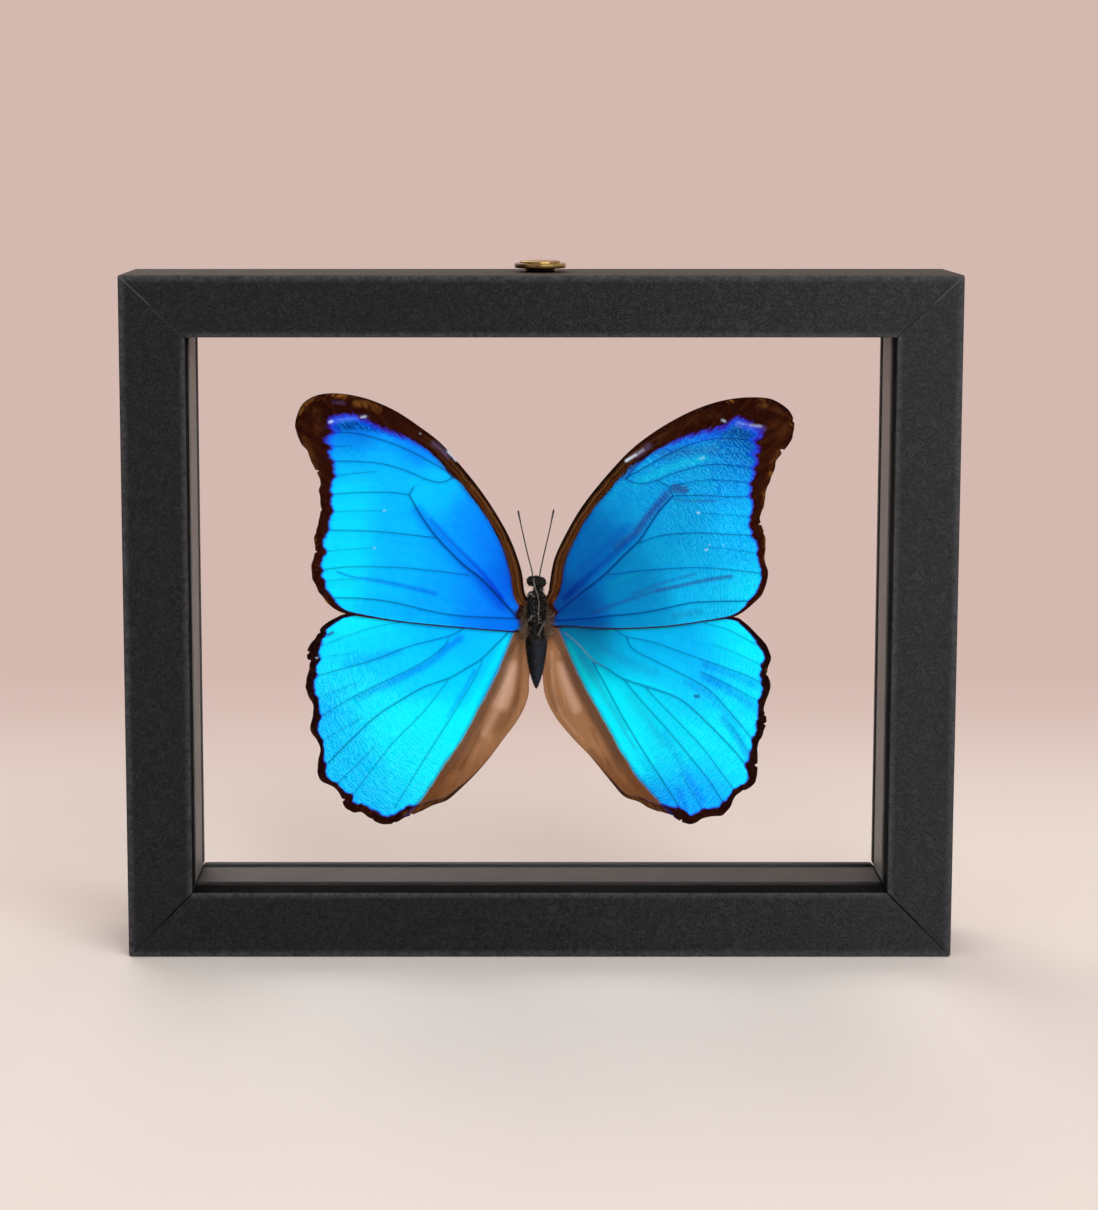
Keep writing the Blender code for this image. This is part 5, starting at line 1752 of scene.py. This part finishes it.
def mirrored(route):
    """A route on the other side of the body."""
    return [(-x, y, z) for x, y, z in route]


def build_hair(settings, finish, trunk):
    """Fine hair on the thorax and the head, and brown tufts over the roots of the wings."""
    draw = random.Random(71)
    middle = Vector(on_butterfly(0.0, 0.0, 0.0))
    places = [vertex.co / MM - middle for vertex in trunk.data.vertices]
    normals = [vertex.normal.copy() for vertex in trunk.data.vertices]
    usable = [i for i, place in enumerate(places) if place.z > -5.4]
    shells, tones = [], []
    for _ in range(settings.hair_count):
        index = draw.choice(usable)
        root, out = places[index], normals[index]
        if (root.z > 7.8 and draw.random() < 0.8) or (out.y < -0.2 and draw.random() < 0.72):
            continue
        lie = Vector((draw.uniform(-0.6, 0.6) + 0.3 * out.x, draw.uniform(-0.2, 0.5), -1.0))
        length = draw.uniform(0.4, 1.0)
        lift = out * draw.uniform(0.2, 0.6)
        side_tuft = abs(root.x) > 1.9 and -5.0 < root.z < 4.5
        if side_tuft:
            lie.x += math.copysign(draw.uniform(0.5, 1.3), root.x)
            length *= draw.uniform(0.9, 1.5)
        way = (lie.normalized() * 0.75 + lift).normalized()
        bend = root + way * length * 0.5
        tip = root + way * length + Vector((0.0, 0.06, -0.15)) * length
        radius = draw.uniform(0.018, 0.032)
        strand = tube([root - out * 0.05, bend, tip], [radius, radius * 0.75, 0.006], 4)
        shells.append(strand)
        darkest, palest = (0.1, 0.62) if side_tuft else (0.0, 0.42)
        tones.extend([draw.uniform(darkest, palest)] * len(strand[0]))
    for side in (-1.0, 1.0):
        for _ in range(settings.hair_count // 6):
            aside, depth = side * draw.uniform(2.0, 2.9), -1.2 - draw.uniform(0.0, 0.6)
            start = Vector((aside, depth, draw.uniform(-4.8, 3.0)))
            low = start.z < 1.0
            reach = draw.uniform(0.6, 2.7) if low else draw.uniform(0.4, 1.2)
            turn = draw.gauss(-0.15, 0.85)
            way = Vector((side * math.cos(turn), draw.uniform(-0.15, 0.3), math.sin(turn)))
            end = start + way * reach
            sag = Vector((draw.uniform(-0.4, 0.4), -0.3, draw.uniform(-0.5, 0.5)))
            bend = start.lerp(end, 0.5) + sag
            pale = draw.random() < 0.12
            thick = 0.045 if pale else 0.032
            strand = tube([start, bend, end], [thick, thick * 0.85, 0.008], 4)
            shells.append(strand)
            darkest, palest = (0.8, 1.0) if pale else (0.25, 0.72) if low else (0.05, 0.5)
            tones.extend([draw.uniform(darkest, palest)] * len(strand[0]))
    vertices, faces = joined(shells)
    places = [on_butterfly(*vertex) for vertex in vertices]
    made = make_object("body_hair", places, faces, [finish], {"tone": tones})
    return settle(made, "body_cuticle")


def build_glue(finish):
    """The drop of glue that holds the body to the rear pane."""
    low, high = box_mm("glue_dot")
    depth = high.y - low.y
    radius = (high.x - low.x) / 2
    profile = [(0.0, 0.0), (radius * 0.5, 0.0), (radius * 0.72, 0.05)]
    for k in range(1, 9):
        share = k / 8
        profile.append((radius * (0.72 + 0.26 * share**1.7), 0.05 + (depth - 0.15) * share))
    profile += [(radius * 0.96, depth), (radius * 0.5, depth), (0.0, depth)]
    vertices, faces = turned_shape(profile, sides=48)
    middle_x, middle_z = (low.x + high.x) / 2, (low.z + high.z) / 2
    placed = []
    for x, y, height in vertices:
        angle = math.atan2(y, x)
        swell = 1.0 + 0.05 * math.sin(2 * angle + 0.6) + 0.03 * math.sin(3 * angle)
        swell = min(swell, 1.02)
        placed.append((middle_x + x * swell * 0.96, low.y + height, middle_z + y * swell * 0.96))
    made = make_object("glue_drop", placed, faces, [finish], smooth_angle=60.0)
    face_outwards(made)
    return settle(made, "clear_glue", "glue_dot")


def build_stage(settings):
    """A pale floor, soft light from all round, one large soft light and the camera."""
    rings, spokes = [150.0, 400.0, 900.0, 2000.0, 4000.0, 8000.0], 72
    height = FRAME_BOTTOM - FLOOR_GAP
    vertices = [(0.0, 0.0, height)]
    for radius in rings:
        for step in range(spokes):
            angle = 2 * math.pi * step / spokes
            vertices.append((radius * math.cos(angle), radius * math.sin(angle), height))
    faces = [(0, 1 + step, 1 + (step + 1) % spokes) for step in range(spokes)]
    faces += [face[::-1] for face in ring_faces(len(rings), spokes, 1)]
    floor = make_object("floor", vertices, faces, [floor_finish(settings)])

    world = bpy.data.worlds.new("studio")
    world.use_nodes = True
    bpy.context.scene.world = world
    sky = NodeWork(world.node_tree)
    background = world.node_tree.nodes["Background"]
    toward = sky.add("ShaderNodeTexCoord", output="Generated")
    behind = sky.add("ShaderNodeSeparateXYZ", sockets={0: toward}, output="Y")
    glow = sky.ramp(behind * 0.5 + 0.5, surroundings_stops(settings))
    sky.join(background.inputs["Color"], glow)
    background.inputs["Strength"].default_value = settings.world_strength

    middle = Vector(((FRAME_LEFT + FRAME_RIGHT) / 2, FRAME_FRONT, BODY_HEIGHT))
    lights = [
        ("key", (480.0, -820.0, 720.0), 900.0, settings.key_power, (1.0, 0.985, 0.96)),
        ("fill", (-700.0, -900.0, 500.0), 1000.0, settings.key_power * 0.12, (0.96, 0.98, 1.0)),
        ("rim", (-500.0, 900.0, 900.0), 900.0, settings.key_power * 0.7, (1.0, 0.97, 0.94)),
    ]
    for name, offset, size, power, color in lights:
        data = bpy.data.lights.new(name, "AREA")
        data.size, data.energy, data.color = size * MM, power, color
        lamp = bpy.data.objects.new(name, data)
        lamp.location = (middle + Vector(offset)) * MM
        lamp.rotation_euler = (-Vector(offset)).to_track_quat("-Z", "Y").to_euler()
        bpy.context.scene.collection.objects.link(lamp)

    data = bpy.data.cameras.new("camera")
    data.lens, data.sensor_width = CAMERA_LENS, 36.0
    data.shift_x, data.shift_y = CAMERA_SHIFT
    data.clip_start, data.clip_end = 0.01, 50.0
    camera = bpy.data.objects.new("camera", data)
    camera.location = Vector(
        (middle.x + CAMERA_ASIDE, FRAME_FRONT - settings.camera_distance, CAMERA_HEIGHT)
    ) * MM
    camera.rotation_euler = (math.radians(90.0 - CAMERA_PITCH), 0.0, 0.0)
    bpy.context.scene.collection.objects.link(camera)
    bpy.context.scene.camera = camera
    bpy.context.scene.view_settings.view_transform = "Standard"


def antenna_radius(share):
    """An antenna's radius along its length, with a club near its tip."""
    return 0.155 + 0.03 * (1 - share) + 0.1 * soft_step(share, 0.8, 0.95)


def tongue_radius(share):
    """The proboscis's radius along its length."""
    return 0.2 - 0.09 * share


def leg_radius(share):
    """A leg's radius along its length, thickest at the thigh."""
    return 0.24 - 0.14 * soft_step(share, 0.05, 0.75)


class BUTTERFLY_OT_rails(bpy.types.Operator):
    """Builds the four wrapped rails of the frame"""

    bl_idname = "butterfly.rails"
    bl_label = "Frame Rails"

    def execute(self, context):
        settings = context.scene.butterfly_frame
        finishes = [wrap_finish(settings), shaded_wall_finish()]
        for side in RAIL_WIDTHS:
            build_rail(side, settings, finishes)
        return {"FINISHED"}


class BUTTERFLY_OT_lining(bpy.types.Operator):
    """Finishes the strips between the panes and the strips that hold them in"""

    bl_idname = "butterfly.lining"
    bl_label = "Spacers and Retainers"

    def execute(self, context):
        settings = context.scene.butterfly_frame
        grey = strip_finish("grey satin strip", settings.spacer_color, 0.48, 0.5)
        # Painted shade: the bottom spacer takes a darker copy of the grey satin.
        shaded_spacer_color = tuple(0.18 * c for c in settings.spacer_color)
        lower = strip_finish("satin strip in painted shade", shaded_spacer_color, 0.55, 0.5)
        black = strip_finish("black strip", (0.02, 0.02, 0.022), 0.62, 1.4)
        for side in RAIL_WIDTHS:
            satin = lower if side == "bottom" else grey
            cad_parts[f"spacer_{side}"].material_slots[0].material = satin.material
            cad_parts[f"retainer_{side}"].material_slots[0].material = black.material
        return {"FINISHED"}


class BUTTERFLY_OT_panes(bpy.types.Operator):
    """Builds the front and the rear pane of glass"""

    bl_idname = "butterfly.panes"
    bl_label = "Glass Panes"

    def execute(self, context):
        finish = glass_finish(context.scene.butterfly_frame)
        for node in ("front_glass", "rear_glass"):
            build_pane(node, finish)
        return {"FINISHED"}


class BUTTERFLY_OT_knob(bpy.types.Operator):
    """Builds the brass knob on top of the frame"""

    bl_idname = "butterfly.knob"
    bl_label = "Brass Knob"

    def execute(self, context):
        build_knob(brass_finish(context.scene.butterfly_frame))
        return {"FINISHED"}


class BUTTERFLY_OT_wings(bpy.types.Operator):
    """Builds the two forewings and the two hindwings"""

    bl_idname = "butterfly.wings"
    bl_label = "Wings"

    def execute(self, context):
        settings = context.scene.butterfly_wings
        finishes = [wing_top_finish(settings), wing_under_finish(settings)]
        fore = (FOREWING_DEPTH, FOREWING_BANDS, FOREWING_EYESPOTS)
        hind = (HINDWING_DEPTH, HINDWING_BANDS, HINDWING_EYESPOTS)
        wings = [
            ("forewing_left", fore, FOREWING_LEFT_EDGE, FOREWING_LEFT_VEINS,
             FOREWING_LEFT_WASHES, FOREWING_LEFT_STROKES, None),
            ("forewing_right", fore, FOREWING_RIGHT_EDGE, FOREWING_RIGHT_VEINS,
             FOREWING_RIGHT_WASHES, FOREWING_RIGHT_STROKES, None),
            ("hindwing_left", hind, HINDWING_LEFT_EDGE, HINDWING_LEFT_VEINS,
             HINDWING_LEFT_WASHES, HINDWING_LEFT_STROKES, PANEL_LEFT),
            ("hindwing_right", hind, HINDWING_RIGHT_EDGE, HINDWING_RIGHT_VEINS,
             HINDWING_RIGHT_WASHES, HINDWING_RIGHT_STROKES, PANEL_RIGHT),
        ]
        for node, (depth, bands, eyespots), edge, veins, washes, strokes, panel in wings:
            build_wing(
                node, depth, edge, veins, washes, strokes, bands, eyespots, panel, settings,
                finishes,
            )
        return {"FINISHED"}


class BUTTERFLY_OT_body(bpy.types.Operator):
    """Builds the head, thorax and abdomen as one skin"""

    bl_idname = "butterfly.body"
    bl_label = "Body"

    def execute(self, context):
        settings = context.scene.butterfly_body
        build_body(settings, cuticle_finish(settings))
        return {"FINISHED"}


class BUTTERFLY_OT_hair(bpy.types.Operator):
    """Builds the hair on the body and over the roots of the wings"""

    bl_idname = "butterfly.hair"
    bl_label = "Hair"

    def execute(self, context):
        build_hair(context.scene.butterfly_body, hair_finish(), bpy.data.objects["trunk"])
        return {"FINISHED"}


class BUTTERFLY_OT_feelers(bpy.types.Operator):
    """Builds the antennae and the proboscis"""

    bl_idname = "butterfly.feelers"
    bl_label = "Antennae and Proboscis"

    def execute(self, context):
        settings = context.scene.butterfly_body
        dark = thread_finish("antenna horn", (0.012, 0.01, 0.009), (0.05, 0.042, 0.036), 2.2)
        pale = thread_finish("leg horn", settings.leg, (0.17, 0.16, 0.14), 1.6)
        for node, route in (("antenna_left", ANTENNA_LEFT), ("antenna_right", ANTENNA_RIGHT)):
            build_thread(f"{node}_horn", node, "body_cuticle", route, antenna_radius, dark, 0.48)
        build_thread("tongue", "proboscis", "leg_cuticle", PROBOSCIS, tongue_radius, pale, 0.36)
        return {"FINISHED"}


class BUTTERFLY_OT_legs(bpy.types.Operator):
    """Builds the six folded legs"""

    bl_idname = "butterfly.legs"
    bl_label = "Legs"

    def execute(self, context):
        settings = context.scene.butterfly_body
        finish = thread_finish("leg cuticle", settings.leg, (0.2, 0.17, 0.13), 1.6)
        legs = [
            ("foreleg_left", FORELEG_LEFT), ("foreleg_right", FORELEG_RIGHT),
            ("midleg_left", mirrored(MIDLEG)), ("midleg_right", MIDLEG),
            ("hindleg_left", mirrored(HINDLEG)), ("hindleg_right", HINDLEG),
        ]
        for seed, (node, route) in enumerate(legs):
            build_thread(
                f"{node}_limb", node, "leg_cuticle", route, leg_radius, finish, 0.9, 26, seed
            )
        return {"FINISHED"}


class BUTTERFLY_OT_glue(bpy.types.Operator):
    """Builds the drop of glue behind the body"""

    bl_idname = "butterfly.glue"
    bl_label = "Glue Drop"

    def execute(self, context):
        build_glue(glue_finish())
        return {"FINISHED"}


class BUTTERFLY_OT_stage(bpy.types.Operator):
    """Builds the floor, the lights and the camera"""

    bl_idname = "butterfly.stage"
    bl_label = "Stage"

    def execute(self, context):
        build_stage(context.scene.butterfly_stage)
        return {"FINISHED"}


class BUTTERFLY_PT_panel(bpy.types.Panel):
    """Lists the pieces of the framed butterfly and their settings"""

    bl_label = "Framed Butterfly"
    bl_idname = "BUTTERFLY_PT_panel"
    bl_space_type = "VIEW_3D"
    bl_region_type = "UI"
    bl_category = "Butterfly"

    def draw(self, context):
        for name, kind in SETTINGS.items():
            column = self.layout.column()
            for field in kind.__annotations__:
                column.prop(getattr(context.scene, name), field)
        for operator in PIECES:
            self.layout.operator(operator.bl_idname)


SETTINGS = {
    "butterfly_frame": FrameSettings,
    "butterfly_wings": WingSettings,
    "butterfly_body": BodySettings,
    "butterfly_stage": StageSettings,
}
PIECES = (
    BUTTERFLY_OT_rails,
    BUTTERFLY_OT_lining,
    BUTTERFLY_OT_panes,
    BUTTERFLY_OT_knob,
    BUTTERFLY_OT_wings,
    BUTTERFLY_OT_body,
    BUTTERFLY_OT_hair,
    BUTTERFLY_OT_feelers,
    BUTTERFLY_OT_legs,
    BUTTERFLY_OT_glue,
    BUTTERFLY_OT_stage,
)


def register():
    for kind in (*SETTINGS.values(), *PIECES, BUTTERFLY_PT_panel):
        bpy.utils.register_class(kind)
    for name, kind in SETTINGS.items():
        setattr(bpy.types.Scene, name, bpy.props.PointerProperty(type=kind))


def unregister():
    for name in SETTINGS:
        delattr(bpy.types.Scene, name)
    for kind in reversed((*SETTINGS.values(), *PIECES, BUTTERFLY_PT_panel)):
        bpy.utils.unregister_class(kind)


def main():
    register()
    for operator in PIECES:
        group, name = operator.bl_idname.split(".")
        getattr(getattr(bpy.ops, group), name)()


if __name__ == "__main__":
    main()
